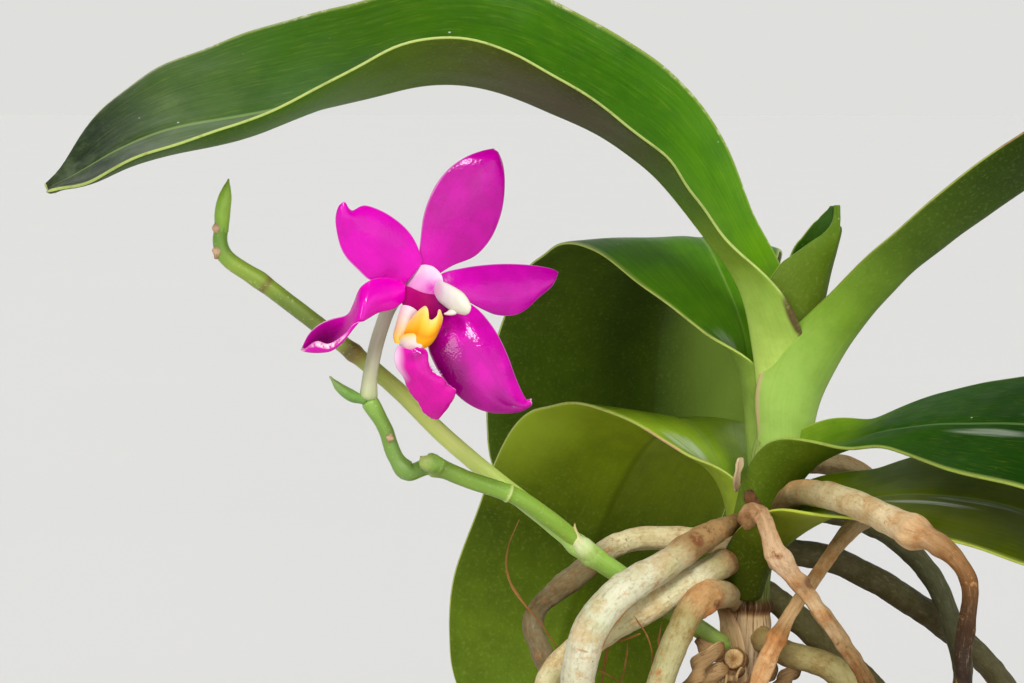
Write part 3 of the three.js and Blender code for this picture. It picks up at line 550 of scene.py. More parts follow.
def root_skin(name, stops, scars=0.3, scar_colour=(158, 104, 48), rough=0.72, green=0.0, creases=0.5,
              speck=(120, 96, 60), patches=()):
    """Root skin: a corky, streaked coat with stains, brown scars, specks and cracks across it."""
    f = Finish(name, rough, stops, Specular_IOR_Level=0.3)
    broad = f.noise(5, 4, 0.6)
    f.over(f.between(broad, 0.35, 0.7, 0, 0.5), (204, 190, 146), "MULTIPLY")
    if green:
        f.over(f.between(f.noise(9, 3, seed=2.0), 0.45, 0.7, 0, green), (158, 170, 112))
    stain = f.between(f.noise(8, 5, 0.72, seed=6.0), 0.48, 0.66, 0, 0.35 + 0.6 * scars)
    f.over(stain, (226, 184, 128), "MULTIPLY")
    cork = f.noise(1, 4, 0.65, f.wrapped(30, 44))
    f.over(f.between(cork, 0.5, 0.7, 0, 0.5), (186, 164, 124), "MULTIPLY")
    f.over(f.between(cork, 0.46, 0.3, 0, 0.16), (190, 182, 156), "SCREEN")
    worn = f.noise(4, 7, 0.75, seed=1.0)
    scar = f.between(worn, 0.56, 0.63, 0, scars)
    f.over(scar, scar_colour)
    f.over(f.between(worn, 0.63, 0.68, 0, scars), darker(scar_colour, 0.62))
    f.places(patches, 0.5, lambda u, v: f.between(f.noise(1.5, 5, 0.75, seed=u + v), 0.36, 0.5))
    fine = f.noise(0.8, 4, 0.7)
    f.over(f.between(fine, 0.54, 0.7, 0, 0.45), speck)
    pores = f.between(f.spots(1.7), 0.16, 0.06)
    some = f.between(f.noise(6, 3, seed=8.0), 0.48, 0.6)
    f.over(f.times(pores, some, 0.7), (92, 64, 38))
    cracks = f.noise(1, 3, 0.6, f.wrapped(5, 60))
    f.over(f.between(cracks, 0.65, 0.71, 0, creases * 0.7), (104, 74, 42))
    return f.finish(
        f.between(broad, 0.3, 0.7, rough - 0.14, rough + 0.12), (broad, 0.5, 0.6), (cork, 0.6, 0.35),
        (scar, 0.4, 0.25), (cracks, 0.6 * creases, 0.5), (fine, 0.6, 0.25), (f.noise(0.35, 2), 0.35, 0.07))


def straw(name, stops, rough=0.85, lines=0.8, blots=0.5, wrap=None):
    """Dry fibrous skin of the old stem and of dead sheaths."""
    f = Finish(name, rough, stops, Specular_IOR_Level=0.2)
    fibres = f.noise(1, 5, 0.7, f.wrapped(*wrap) if wrap else f.stretched(26, 3))
    f.over(f.between(fibres, 0.48, 0.38, 0, lines), (128, 96, 62), "MULTIPLY")
    f.over(f.between(fibres, 0.55, 0.7, 0, 0.4), (250, 226, 180), "SCREEN")
    f.over(f.between(f.noise(3, 5, 0.7), 0.55, 0.66, 0, blots), (100, 68, 40))
    return f.finish(None, (fibres, 0.8, 0.6), (f.noise(0.6, 3), 0.4, 0.15))


def stalk(name, stops, rough=0.38, specks=0.3, streak=0.3):
    """The smooth skin of a flower stalk."""
    f = Finish(name, rough, stops)
    lines = f.noise(1, 3, 0.5, f.stretched(9, 6))
    f.over(f.between(lines, 0.4, 0.7, 0, streak), (190, 206, 140), "MULTIPLY")
    f.over(f.between(f.noise(0.7, 3, 0.6), 0.58, 0.7, 0, specks), (204, 212, 150))
    return f.finish(None, (lines, 0.2, 0.15), (f.noise(0.5, 2), 0.15, 0.05))


def petal_skin(name, deep, bright, pale_edge, streaks=(), painted_shade=(), pale=()):
    """Waxy magenta with a cellular glitter, a thin pale edge, a brighter base, ovals of painted shade and
    ragged patches of painted highlight.
    """
    f = Finish(name, 0.16, Specular_IOR_Level=0.27)
    f.colour = deep
    f.over(f.between(f.noise(5, 3), 0.35, 0.65), bright)
    f.over(f.between(f.along, 0.4, 0.0, 0, 0.3), (232, 0, 186))
    # Ovals of painted shade.
    f.places(painted_shade, 0.9, None, (96, 0, 72))
    f.places(pale, 0.95, None, (244, 206, 234))
    lines = f.noise(1, 3, 0.5, f.stretched(26, 2.4))
    f.over(f.between(lines, 0.5, 0.75, 0, 0.25), (190, 120, 200), "MULTIPLY")
    f.over(f.between(f.from_edge(), 0.03, 0.0, 0, pale_edge), (238, 170, 226))
    f.over(f.between(f.along, 0.965, 1.0, 0, pale_edge), (240, 214, 226))
    # Ragged pale patches of painted highlight.
    torn = lambda u, v: f.between(f.noise(0.9, 4, 0.7, seed=v), 0.35, 0.6)
    f.places(streaks, 0.7, torn, (242, 226, 226))
    return f.finish(f.between(f.noise(2, 3), 0.3, 0.7, 0.08, 0.15),
                    (f.noise(3, 3), 0.2, 0.35), (lines, 0.1, 0.12), (f.spots(0.42), 0.3, 0.09))


def two_tone(name, roughness, cloud, low, high):
    """A plain skin that drifts between two tones; cloud is what its noise takes."""
    f = Finish(name, roughness)
    f.colour = low
    f.over(f.noise(*cloud), high)
    return f.finish()


def waxy(name, stops, rough, crosswise=False, shine=0.35, coat=0.0, blush=()):
    """A smooth waxy part of the bloom, coloured along its length or crosswise."""
    f = Finish(name, rough, Coat_Weight=coat, Coat_Roughness=0.2, Specular_IOR_Level=shine)
    f.colour = f.ramp(f.across if crosswise else f.along, stops)
    f.places(blush, 0.9, lambda u, v: f.between(f.noise(1.6, 3), 0.3, 0.6, 0.5, 1))
    return f.finish(None, (f.noise(1.2, 3), 0.3, 0.2), (f.noise(0.3, 2), 0.15, 0.03))


# Leaves

def bearing(angle):
    return [math.cos(math.radians(angle)), math.sin(math.radians(angle)), 0]


LEAVES = {
    "leaf_young_centre": {
        "midrib": [
            [12.3, 0, 180], [13.6, 0, 187], [14.8, 0, 193], [16.4, 0, 201.5], [17.4, -1, 206],
            [18.4, -1.5, 211], [18.2, -1, 214.8]],
        "side": [[0, bearing(90)], [1, bearing(90)]],
        "width": [[0, 6], [0.35, 8], [0.6, 8.6], [0.82, 6], [0.94, 4], [1, 1.6]],
        "right_width": [
            [0, 6], [0.25, 9], [0.42, 13.8], [0.58, 12], [0.72, 7.4], [0.82, 3.2], [0.9, 1.6], [1, 0.8]],
        "left": [60, [[0, 150], [0.4, 90], [1, 80]]],
        "right": [40, [[0, 150], [0.25, 120], [0.45, 100], [1, 90]]], "rib": 1.6},
    "leaf_left_arching": {
        "midrib": [
            [6.2, 1, 160], [5.3, 1, 166], [3.6, 1, 174], [2.4, 0, 184], [-0.8, -3, 197.6], [-10, -8, 211],
            [-22.8, -13, 225.2], [-40, -18, 235], [-60, -22, 241.5], [-82, -26, 238], [-104, -28, 234],
            [-124, -30, 229], [-143, -30, 219]],
        "side": [[0, bearing(-90)], [1, bearing(-90)]],
        "width": [
            [0, 8], [0.06, 8.5], [0.12, 11.5], [0.18, 11], [0.225, 7.5], [0.26, 6.5], [0.31, 9.5],
            [0.4, 18.5], [0.55, 28], [0.7, 30], [0.83, 26], [0.935, 15], [1, 1.5]],
        "right_width": [
            [0, 8], [0.06, 8.5], [0.12, 12], [0.17, 12], [0.22, 13], [0.27, 18], [0.4, 27.5], [0.55, 31],
            [0.7, 31], [0.83, 26], [0.935, 15], [1, 1.5]],
        "left": [
            [[0, 15], [0.25, 10], [0.39, 4], [0.62, 6], [0.81, -30], [1, -35]],
            [
                [0, 150], [0.1, 150], [0.155, 90], [0.2, 48], [0.27, 18], [0.39, 12], [0.62, 22],
                [0.81, 22], [1, 0]]],
        "right": [
            [[0, 15], [0.25, 26], [0.53, 28], [1, 30]],
            [[0, 150], [0.08, 150], [0.17, 80], [0.25, 66], [0.53, 56], [0.72, 42], [1, 38]]]},
    "leaf_right_upper": {
        "midrib": [
            [9.4, 0, 152], [10.4, 0, 157.6], [11.5, 0, 163], [13, 0, 172], [15.7, -1, 179],
            [20.8, -3, 188], [30.3, -8, 200.3], [45.8, -14, 214], [64.5, -20, 225.6], [82, -26, 231],
            [98, -32, 230], [112, -36, 222]],
        "side": [[0, bearing(90)], [0.35, bearing(80)], [1, bearing(68)]],
        "width": [
            [0, 11], [0.18, 12], [0.27, 6.5], [0.38, 6.5], [0.54, 12], [0.77, 18], [0.91, 14], [1, 1.5]],
        "right_width": [
            [0, 11], [0.09, 12.5], [0.15, 15.5], [0.19, 15.5], [0.24, 11.5], [0.3, 10.2], [0.38, 10.6],
            [0.54, 14], [0.77, 18], [0.91, 14], [1, 1.5]],
        "left": [
            [[0, 15], [0.35, 20], [1, 20]],
            [[0, 150], [0.08, 150], [0.26, 100], [0.4, 44], [0.72, 30], [1, 26]]],
        "right": [
            [[0, 15], [0.35, 26], [1, 22]],
            [[0, 150], [0.17, 150], [0.22, 128], [0.27, 106], [0.4, 62], [0.54, 48], [0.72, 40], [1, 30]]]},
    "leaf_back_upper": {
        "midrib": [
            [2.6, 2, 151], [1.5, 4, 164], [1, 8, 177], [0, 13, 187], [-4, 24, 199], [-8, 42, 205.5],
            [-12, 61, 199.5], [-16, 75, 183], [-17, 82, 163.5], [-19, 85, 138], [-20, 84, 112]],
        "side": [[0, bearing(-105)], [0.07, bearing(-105)], [0.21, bearing(-165)], [1, bearing(-172)]],
        "width": [
            [0, 9], [0.07, 11], [0.135, 10], [0.18, 9], [0.23, 14], [0.284, 21], [0.37, 28], [0.49, 33],
            [0.59, 35.5], [0.71, 39.5], [0.8, 38], [0.88, 30], [0.955, 17], [1, 2]],
        "right_width": [
            [0, 9], [0.07, 11], [0.135, 10], [0.18, 8], [0.23, 9], [0.284, 12], [0.37, 18], [0.49, 25],
            [0.72, 34], [0.87, 28], [0.955, 16], [1, 2]],
        "left": [
            [[0, 15], [0.16, 6], [0.44, 2], [1, 10]],
            [[0, 140], [0.07, 140], [0.145, 110], [0.196, 14], [0.3, -4], [0.44, -4], [0.63, 6], [1, 12]]],
        "right": [
            [[0, 15], [0.256, -4], [0.4, -4], [0.63, 10], [1, 12]],
            [[0, 140], [0.07, 140], [0.18, 70], [0.256, -14], [0.4, -10], [0.63, 8], [1, 12]]]},
    "leaf_right_broad": {
        "midrib": [
            [6, -3, 146], [8.5, -6, 156], [13, -12, 163], [22, -23, 168.5], [35, -36, 172.5],
            [50, -46, 174], [69, -52, 172], [88, -54, 164], [104, -54, 152]],
        "side": [[0, bearing(80)], [0.25, bearing(50)], [0.6, bearing(68)], [1, bearing(85)]],
        "width": [
            [0, 12], [0.15, 10], [0.22, 10], [0.32, 20], [0.5, 26], [0.7, 29], [0.86, 24], [0.95, 13],
            [1, 2]],
        "right_width": [
            [0, 12], [0.15, 12], [0.24, 8], [0.33, 8.6], [0.5, 19], [0.7, 27], [0.86, 24], [0.95, 13],
            [1, 2]],
        "left": [
            [[0, 15], [0.3, 0], [0.5, -2], [1, -2]], [[0, 140], [0.16, 60], [0.24, 0], [0.5, -6], [1, -8]]],
        "right": [
            [[0, 15], [0.3, 4], [0.5, -2], [1, -2]], [[0, 140], [0.18, 75], [0.3, 5], [0.5, -8], [1, -8]]],
        "roll": [[0, 0], [0.3, 20], [0.8, 20], [1, 10]]},
    "leaf_back_lower": {
        "midrib": [
            [-2, 4, 142], [-3, 8, 152], [-6, 18, 161], [-12, 34, 166], [-19, 48, 160], [-26, 56, 147],
            [-32, 60.5, 130], [-38, 62.5, 112], [-43, 62, 95], [-47, 59, 80]],
        "side": [[0, bearing(-105)], [0.17, bearing(-160)], [1, bearing(-173)]],
        "width": [
            [0, 11], [0.07, 9], [0.12, 9], [0.18, 14], [0.26, 20], [0.36, 26], [0.48, 29], [0.6, 28.6],
            [0.72, 28.8], [0.86, 24], [0.95, 14], [1, 2]],
        "right_width": [
            [0, 11], [0.07, 9], [0.12, 8], [0.18, 11], [0.26, 18], [0.36, 26], [0.5, 30], [0.7, 31],
            [0.86, 25], [0.95, 14], [1, 2]],
        "left": [
            [[0, 15], [0.1, 10], [0.4, 10], [1, 10]],
            [[0, 140], [0.07, 90], [0.14, 20], [0.25, 10], [0.4, 8], [0.6, 10], [1, 12]]],
        "right": [
            [[0, 15], [0.15, -6], [0.35, 5], [1, 12]],
            [[0, 140], [0.07, 90], [0.14, -16], [0.22, -34], [0.34, -14], [0.6, 10], [1, 12]]]},
    "leaf_right_lower": {
        "midrib": [
            [1, -4, 132], [4, -8, 142], [10, -13, 149], [21, -20, 155], [34, -26, 157], [52, -31, 155],
            [71, -34, 147], [87, -34, 135]],
        "side": [[0, bearing(75)], [0.3, bearing(58)], [0.6, bearing(75)], [1, bearing(88)]],
        "width": [[0, 10], [0.15, 11], [0.3, 14], [0.55, 22], [0.75, 24], [0.9, 15], [1, 2]],
        "left": [[[0, 15], [0.3, 6], [1, 2]], [[0, 140], [0.18, 75], [0.34, 8], [1, -4]]],
        "roll": [[0, 0], [0.3, 14], [0.8, 18], [1, 8]]}}

LEAF_LOOKS = {
    "leaf_young_centre": (
        {"stops": [(0, 120, 150, 56), (0.5, 52, 86, 3), (1, 42, 75, 2)], "dust": 0.04},
        {"stops": [(0, 124, 150, 58), (0.4, 93, 113, 32), (1, 84, 112, 24)], "mottle": 0.15},
        (170, 190, 96), 0.1, ()),
    "leaf_left_arching": (
        {
            "stops": [
                (0, 168, 200, 92), (0.13, 150, 188, 76), (0.2, 98, 146, 18), (0.3, 76, 124, 4),
                (0.4, 60, 104, 2), (0.52, 60, 102, 2), (0.64, 56, 90, 8), (0.74, 58, 94, 20),
                # The dark stops from 0.93 to the tip are painted shade.
                (0.86, 74, 96, 48), (0.93, 26, 44, 12), (1, 20, 32, 8)],
            "dust": 0.3, "dust_from": 0.8, "crust": 0.75, "streaks": 0.45},
        {
            "stops": [
                (0, 186, 210, 104), (0.11, 182, 208, 100), (0.18, 158, 192, 80), (0.225, 124, 152, 44),
                (0.3, 82, 116, 12), (0.38, 68, 88, 12), (0.48, 62, 70, 12), (0.56, 78, 90, 20),
                (0.64, 84, 112, 18), (0.73, 74, 114, 8), (0.84, 64, 98, 10), (1, 50, 72, 16)],
            "flush": ((0.3, 0.47, 0.4, 0.15, 0.45),), "mottle": 0.3,
            "scars": ((0, 0.155, 0.09, 0.032, 0.9, (92, 60, 52)),)},
        (168, 184, 96), 0.4, ((0, 0.155, 0.3, 0.034, 1, (84, 54, 46)),)),
    "leaf_right_upper": (
        {
            "stops": [(0, 160, 190, 92), (0.25, 104, 146, 36), (0.45, 76, 112, 24), (1, 56, 88, 16)],
            "dust": 0.1},
        {
            "stops": [
                (0, 164, 194, 96), (0.16, 150, 184, 84), (0.27, 120, 154, 50), (0.42, 79, 103, 34),
                (0.6, 49, 67, 13), (1, 46, 66, 12)],
            "mottle": 0.3, "scars": ((1, 0.13, 0.07, 0.06, 0.8, (196, 168, 124)),)},
        (150, 156, 70), 0.5,
        ((1, 0.13, 0.3, 0.06, 1, (206, 180, 138)), (1, 0.62, 0.3, 0.05, 0.9, (140, 104, 62)))),
    "leaf_back_upper": (
        {
            "stops": [
                # The dark stop at 0.12 is painted shadow of the left arching leaf.
                (0, 130, 160, 60), (0.12, 80, 118, 12), (0.3, 88, 140, 6), (0.5, 68, 112, 8),
                (1, 60, 100, 14)],
            # A pale patch, partly water stain and partly painted sheen.
            "dust": 0.2, "water_marks_and_sheen": ((0.2, 0.17, 0.16, 0.04, 0.4),), "streaks": 0.45},
        {
            "stops": [
                (0, 150, 178, 84), (0.15, 124, 152, 56), (0.3, 70, 92, 14), (0.5, 66, 84, 10),
                (0.72, 76, 98, 20), (1, 76, 98, 26)],
            # A dark band of painted shade and a lighter band of painted light.
            "painted_light_and_shade": (
                (0.4, 0.6, 0.18, 0.34, 0.6, (28, 42, 3)), (0.76, 0.62, 0.26, 0.36, 0.85, (126, 156, 58)))},
        (172, 188, 84), 0.2, ()),
    "leaf_right_broad": (
        {
            "stops": [
                (0, 138, 164, 64), (0.14, 116, 146, 40), (0.3, 44, 82, 2), (0.6, 26, 56, 0),
                (1, 22, 50, 0)],
            # A brighter midrib line, partly painted highlight.
            "dust": 0.08, "midrib": (96, 126, 70), "midrib_share": 0.6,
            # Two pale patches, partly water stains and partly painted sheen.
            "water_marks_and_sheen": ((0.6, 0.5, 0.05, 0.08, 0.3), (0.42, 0.62, 0.04, 0.1, 0.25)), "streaks": 0.4,
            "rough": 0.5, "shine": 0.06},
        {"stops": [(0, 92, 112, 28), (0.2, 94, 118, 24), (0.35, 70, 92, 16), (1, 56, 80, 14)]},
        (142, 160, 62), 0.2, ()),
    "leaf_back_lower": (
        {
            "stops": [
                # The dip at 0.12 is painted shadow, and the light band at 0.2 is partly painted sheen.
                (0, 120, 146, 50), (0.12, 112, 140, 34), (0.2, 146, 174, 44), (0.35, 104, 128, 16),
                (0.6, 88, 116, 16), (1, 76, 108, 20)],
            # A pale patch, partly water stain and partly painted sheen.
            "dust": 0.3, "water_marks_and_sheen": ((0.2, 0.16, 0.18, 0.05, 0.5),)},
        {
            "stops": [
                (0, 140, 160, 50), (0.2, 142, 162, 36), (0.35, 142, 162, 26), (0.46, 122, 142, 20),
                (0.62, 72, 90, 4), (0.8, 92, 114, 22), (1, 80, 100, 18)],
            # Painted light along the left edge.
            "mottle": 0.4, "painted_light_and_shade": ((0.02, 0.44, 0.3, 0.16, 0.6, (168, 192, 54)),)},
        (168, 178, 80), 0.3, ((0, 0.17, 0.3, 0.035, 0.9, (188, 150, 108)),)),
    "leaf_right_lower": (
        {
            "stops": [(0, 122, 138, 22), (0.3, 126, 146, 8), (0.5, 108, 120, 4), (1, 78, 92, 4)],
            # Two pale streaks, partly water stains and partly painted highlight streaks.
            "dust": 0.04, "water_marks_and_sheen": ((0.62, 0.47, 0.03, 0.11, 0.9), (0.54, 0.55, 0.03, 0.1, 0.7)),
            "rough": 0.42, "shine": 0.07},
        {
            "stops": [
                (0, 60, 68, 6), (0.12, 68, 80, 10), (0.28, 150, 164, 46), (0.6, 140, 154, 44),
                (1, 104, 122, 26)]},
        (176, 188, 60), 0.1, ())}


LEAF_GRID = (26, 72)
LEAF_RIB = 2
LEAF_MARGIN = 0.8


def make_leaf(name, spec):
    """One leaf: a sheet bent to the blade, with a groove along its midrib and soft waves."""
    rib = spec.get("rib", LEAF_RIB)
    piece, across, along = flat_sheet(name + "_dressed", *LEAF_GRID)
    points, normal, share = blade_points(spec, across, along)
    groove = -0.35 * np.exp(-((share / 0.05) ** 2)) * through([[0, 0], [0.2, 1], [0.9, 1], [1, 0]], along)
    seed = len(name) + sum(map(ord, name)) % 17
    swell = 0.7 * lumps(points, 26, seed) + 0.3 * lumps(points, 9, seed)
    waves = 0.55 * share**3 * lumps(points, 11, seed + 3)
    calm = through([[0, 0.1], [0.2, 0.5], [0.35, 1], [1, 1]], along)
    height = 0.3 * LEAF_MARGIN + groove + (swell + waves) * calm
    shape(piece, points + normal * height[:, None])
    upper, under, edge, spots, burns = LEAF_LOOKS[name]
    paint(piece, leaf_upper(name + "_upper", **upper), leaf_under(name + "_under", **under),
          leaf_edge(name + "_edge", edge, spots, burns))
    thicken(piece, rib, (LEAF_MARGIN / rib, (1 - share) ** 2), under=1, edge=2)
    soften(piece)
    settle(piece, "leaf", name)


for leaf_name, leaf_spec in LEAVES.items():
    make_leaf(leaf_name, leaf_spec)


# Roots

ROOT_SIDES = 24
ROOT_ROWS = 150
ROOTS = {
    "root_front_thick": {
        "path": [
            [0, -3, 148.5], [-4, -7, 148], [-9, -14, 147], [-14, -19, 145], [-19, -23, 142],
            [-24, -26, 139.5], [-28.5, -29, 137], [-32.5, -31, 133], [-34.7, -32, 129], [-36, -32, 124],
            [-37, -31, 117], [-37, -29, 108], [-34, -27, 98], [-33, -26, 86]],
        "radius": [[0, 2.1], [0.12, 2.3], [0.2, 2.8], [0.32, 3.2], [0.5, 3.7], [0.7, 3.4], [1, 3.1]],
        "skin": {
            "stops": [
                (0, 92, 66, 34), (0.12, 132, 100, 60), (0.2, 132, 102, 62), (0.245, 150, 120, 78),
                (0.28, 196, 182, 144), (0.36, 204, 200, 168), (0.6, 214, 214, 190), (1, 208, 206, 180)],
            "scars": 0.5, "scar_colour": (190, 134, 78), "green": 0.35,
            "patches": (
                (0.7, 0.17, 0.3, 0.1, 0.8, (166, 132, 86)), (0.62, 0.225, 0.14, 0.02, 0.9, (112, 66, 38)),
                (0.37, 0.48, 0.07, 0.1, 1, (196, 132, 70)), (0.36, 0.5, 0.03, 0.07, 0.8, (110, 66, 30)),
                (0.62, 0.56, 0.07, 0.003, 0.7, (166, 116, 72)))},
        "slot": "root_pale", "knuckles": ((0.235, 0.02, 0.35), (0.16, 0.05, 0.25))},
    "root_front_low": {
        "path": [
            [-1, -4, 141], [-7, -11, 140], [-11.5, -15, 138], [-16, -18, 136], [-21, -20, 133.5],
            [-27, -21, 130.5], [-33, -21, 126.5], [-37.5, -21, 123.5], [-41, -20.5, 120], [-43, -19, 115],
            [-43, -17, 106], [-40, -15, 97], [-39, -14, 86]],
        "radius": [[0, 2.6], [0.2, 3.1], [1, 2.8]],
        "skin": {
            "stops": [
                (0, 120, 88, 54), (0.1, 140, 106, 68), (0.15, 176, 160, 116), (0.2, 214, 210, 172),
                (0.45, 222, 212, 168), (1, 206, 192, 146)],
            "scars": 0.6, "scar_colour": (192, 136, 80), "green": 0.4},
        "slot": "root_pale", "knuckles": ((0.1, 0.03, 0.4),)},
    "root_back_grey": {
        "path": [
            [0, 2, 142], [-5, 4, 142.5], [-12, 5.5, 143], [-23.5, 5, 143], [-30, 2, 141],
            [-36, -1, 136.5], [-41, -4, 133], [-44.5, -5, 130], [-45.5, -6, 126], [-44, -7, 122],
            [-42, -8, 117], [-39, -7, 106], [-37, -5, 96], [-37, -4, 86]],
        "radius": [[0, 2.6], [0.3, 2.4], [0.42, 2.5], [0.46, 2.1], [0.6, 2.2], [1, 2]],
        "skin": {
            "stops": [
                (0, 176, 148, 104), (0.15, 214, 196, 150), (0.3, 224, 214, 168), (0.36, 140, 128, 94),
                (0.5, 124, 112, 82), (0.7, 118, 102, 72), (1, 130, 106, 70)],
            "scars": 0.6, "scar_colour": (168, 118, 70), "speck": (100, 80, 54), "creases": 0.9},
        "slot": "root_pale", "withered": 0.25, "knuckles": ((0.46, 0.03, 0.4), (0.64, 0.02, 0.3))},
    "root_steep": {
        "path": [
            [-3, -2, 131], [-4.4, -6, 132.8], [-6.4, -11, 134], [-9.5, -16.6, 134.6], [-13, -21.5, 132.8],
            [-16, -24, 128], [-18, -26, 123.5], [-20, -27, 118], [-22, -27, 110], [-23, -26, 100],
            [-23, -25, 86]],
        "radius": [[0, 2.4], [0.15, 3], [0.26, 3.3], [0.34, 2.9], [0.5, 2.8], [1, 2.8]],
        "skin": {
            "stops": [
                (0, 150, 120, 84), (0.12, 168, 142, 104), (0.2, 188, 160, 118), (0.26, 194, 148, 100),
                (0.31, 190, 148, 100), (0.36, 158, 148, 98), (0.5, 172, 166, 120), (0.6, 188, 176, 130),
                (0.66, 202, 162, 108), (1, 198, 156, 104)],
            "scars": 0.7, "scar_colour": (186, 122, 64), "green": 0.3,
            "patches": (
                (0.45, 0.27, 0.08, 0.022, 0.9, (108, 68, 44)),
                (0.36, 0.29, 0.14, 0.035, 0.7, (222, 150, 90)),
                (0.4, 0.62, 0.2, 0.006, 0.9, (120, 80, 44)))},
        "slot": "root_pale", "knuckles": ((0.25, 0.045, 0.35), (0.62, 0.015, 0.2))},
    "root_dry_front": {
        "path": [
            [1, -4, 150],
            *picked(
                (748, 519, -13), (757, 512.5, -18), (764, 521, -22), (769, 536, -24.5), (775, 554, -26)),
            [6.5, -26, 141], [9.3, -27, 137.8], [12, -28.5, 134], [15.3, -30, 129.7], [18.6, -32, 125],
            [21.5, -33, 120], [25, -33, 110], [27, -31.5, 99], [27, -31, 86]],
        "radius": [
            [0, 1.8], [0.1, 2.1], [0.15, 2.1], [0.2, 1.8], [0.25, 1.7], [0.3, 2], [0.36, 1.7], [0.5, 1.6],
            [1, 1.5]],
        "skin": {
            "stops": [
                (0, 130, 98, 66), (0.1, 172, 136, 96), (0.2, 184, 146, 106), (0.32, 206, 172, 136),
                (0.38, 180, 144, 106), (0.44, 192, 162, 122), (0.56, 160, 128, 88), (0.66, 108, 84, 52),
                (1, 92, 70, 42)],
            "scars": 0.8, "scar_colour": (150, 100, 62), "rough": 0.82, "creases": 1.0,
            "patches": (
                (0.5, 0.39, 0.4, 0.02, 0.9, (110, 72, 46)), (0.45, 0.15, 0.2, 0.02, 0.4, (120, 80, 50)))},
        "slot": "root_dry", "withered": 0.55,
        "knuckles": ((0.12, 0.02, 0.3), (0.3, 0.025, 0.5), (0.37, 0.012, 0.35))},
    "root_dry_loop": {
        "path": [
            [3, 2, 158], [12, 8, 159], [19, 7, 159], [25, 3, 157], [26, -2, 151], [21, -7, 147],
            [14, -12, 139], [8, -15, 131], [3, -17, 122], [0, -19, 113], [-2, -19, 88]],
        "radius": [
            [0, 2.2], [0.3, 2.4], [0.46, 1.5], [0.6, 1.5], [0.66, 1.9], [0.7, 2.1], [0.75, 1.6], [1, 1.6]],
        "skin": {
            "stops": [
                (0, 150, 130, 96), (0.3, 156, 136, 102), (0.45, 182, 150, 108), (0.6, 206, 166, 116),
                (0.645, 206, 146, 92), (0.68, 212, 170, 122), (0.74, 206, 160, 110), (0.76, 120, 80, 46),
                (0.78, 206, 158, 104), (1, 170, 130, 84)],
            "scars": 0.7, "scar_colour": (150, 102, 58), "rough": 0.82, "creases": 0.9},
        "slot": "root_dry", "withered": 0.4, "knuckles": ((0.645, 0.012, 0.35), (0.765, 0.012, 0.8))},
    "root_right_hanging": {
        "path": [
            [3, -1, 149], [6.7, -8, 152.5], [9, -16, 156], [12.8, -28, 157.5], [17.5, -38, 157.2],
            [22, -47, 156], [26.7, -55, 154.2], [30.3, -59, 153], [34, -61.5, 150.3],
            [36.6, -62.5, 146.5], [37.2, -63, 142.5], [36.5, -63.5, 137], [35.8, -64, 130],
            [37, -65, 119], [38.5, -65.5, 108], [38.5, -66, 97], [37, -66, 87]],
        "radius": [
            [0, 2.2], [0.1, 2.7], [0.35, 2.8], [0.42, 3], [0.455, 2.9], [0.49, 2], [0.56, 1.7],
            [0.7, 1.6], [1, 1.1]],
        "skin": {
            "stops": [
                # The dark stops from 0.6 on are withered brown skin, darkened further by painted shade.
                (0, 128, 104, 64), (0.12, 138, 116, 72), (0.2, 168, 150, 106), (0.3, 202, 186, 140),
                (0.42, 222, 200, 158), (0.46, 214, 178, 134), (0.5, 160, 122, 80), (0.53, 140, 100, 58),
                (0.56, 116, 78, 38), (0.6, 74, 48, 20), (0.66, 48, 32, 14), (0.75, 48, 34, 18),
                (1, 46, 32, 18)],
            "scars": 0.55, "scar_colour": (196, 142, 90), "creases": 0.8,
            "patches": (
                (0.7, 0.15, 0.3, 0.1, 0.8, (206, 156, 98)), (0.5, 0.485, 0.3, 0.016, 0.9, (136, 84, 50)))},
        "slot": "root_pale", "withered": 0.25, "knuckles": ((0.455, 0.018, 0.6), (0.5, 0.012, 0.3))},
    # The olive roots' dark olive-grey is partly their own colour and partly painted shade.
    "root_right_olive": {
        "path": [
            [4, 3, 141], [10, 7, 140], [20, 14, 137], [29, 20, 132], [41, 26, 124], [52, 32, 115],
            [61, 37, 105], [67, 40, 92], [68, 41, 76]],
        "radius": [[0, 2.8], [0.3, 3], [0.9, 2.6], [1, 2.2]],
        "skin": {
            "stops": [(0, 92, 88, 54), (0.5, 88, 84, 52), (1, 84, 80, 52)], "scars": 0.3,
            "scar_colour": (90, 72, 44), "speck": (76, 70, 44)},
        "slot": "root_olive"},
    "root_right_far": {
        "path": [
            [4, 4, 150], [11, 8, 149], [24, 16, 146], [35, 20, 140], [43, 20, 131], [46.5, 19, 122],
            [48.5, 16, 113], [47, 11, 104], [43, 8, 97], [41, 7, 84]],
        "radius": [[0, 2.3], [0.4, 2.4], [1, 2]],
        "skin": {
            "stops": [(0, 92, 90, 60), (0.5, 90, 92, 64), (1, 84, 82, 54)], "scars": 0.3,
            "scar_colour": (90, 76, 48), "speck": (80, 76, 52)},
        "slot": "root_olive"},
    "root_right_under": {
        "path": [
            [1, 2, 133], [5, 5, 131], [12, 8, 125], [19, 10, 118], [27, 9, 111], [32, 5, 104],
            [34, 1, 96], [34, -1, 84]],
        "radius": [[0, 2.8], [0.4, 3], [1, 2.6]],
        "skin": {
            "stops": [(0, 110, 106, 66), (0.5, 104, 98, 62), (1, 98, 92, 58)], "scars": 0.3,
            "scar_colour": (96, 78, 46), "speck": (86, 78, 50)},
        "slot": "root_olive"},
    "root_front_under": {
        "path": [
            [0, -1, 124], [3, -4, 123], [8, -9, 121], [16, -12, 119], [22, -13, 113], [25, -13, 104],
            [26, -12, 84]],
        "radius": [[0, 2.6], [0.4, 2.8], [1, 2.4]],
        "skin": {
            "stops": [(0, 160, 134, 84), (0.3, 176, 164, 110), (1, 150, 140, 96)], "scars": 0.5,
            "scar_colour": (150, 106, 58), "green": 0.3},
        "slot": "root_pale"}}


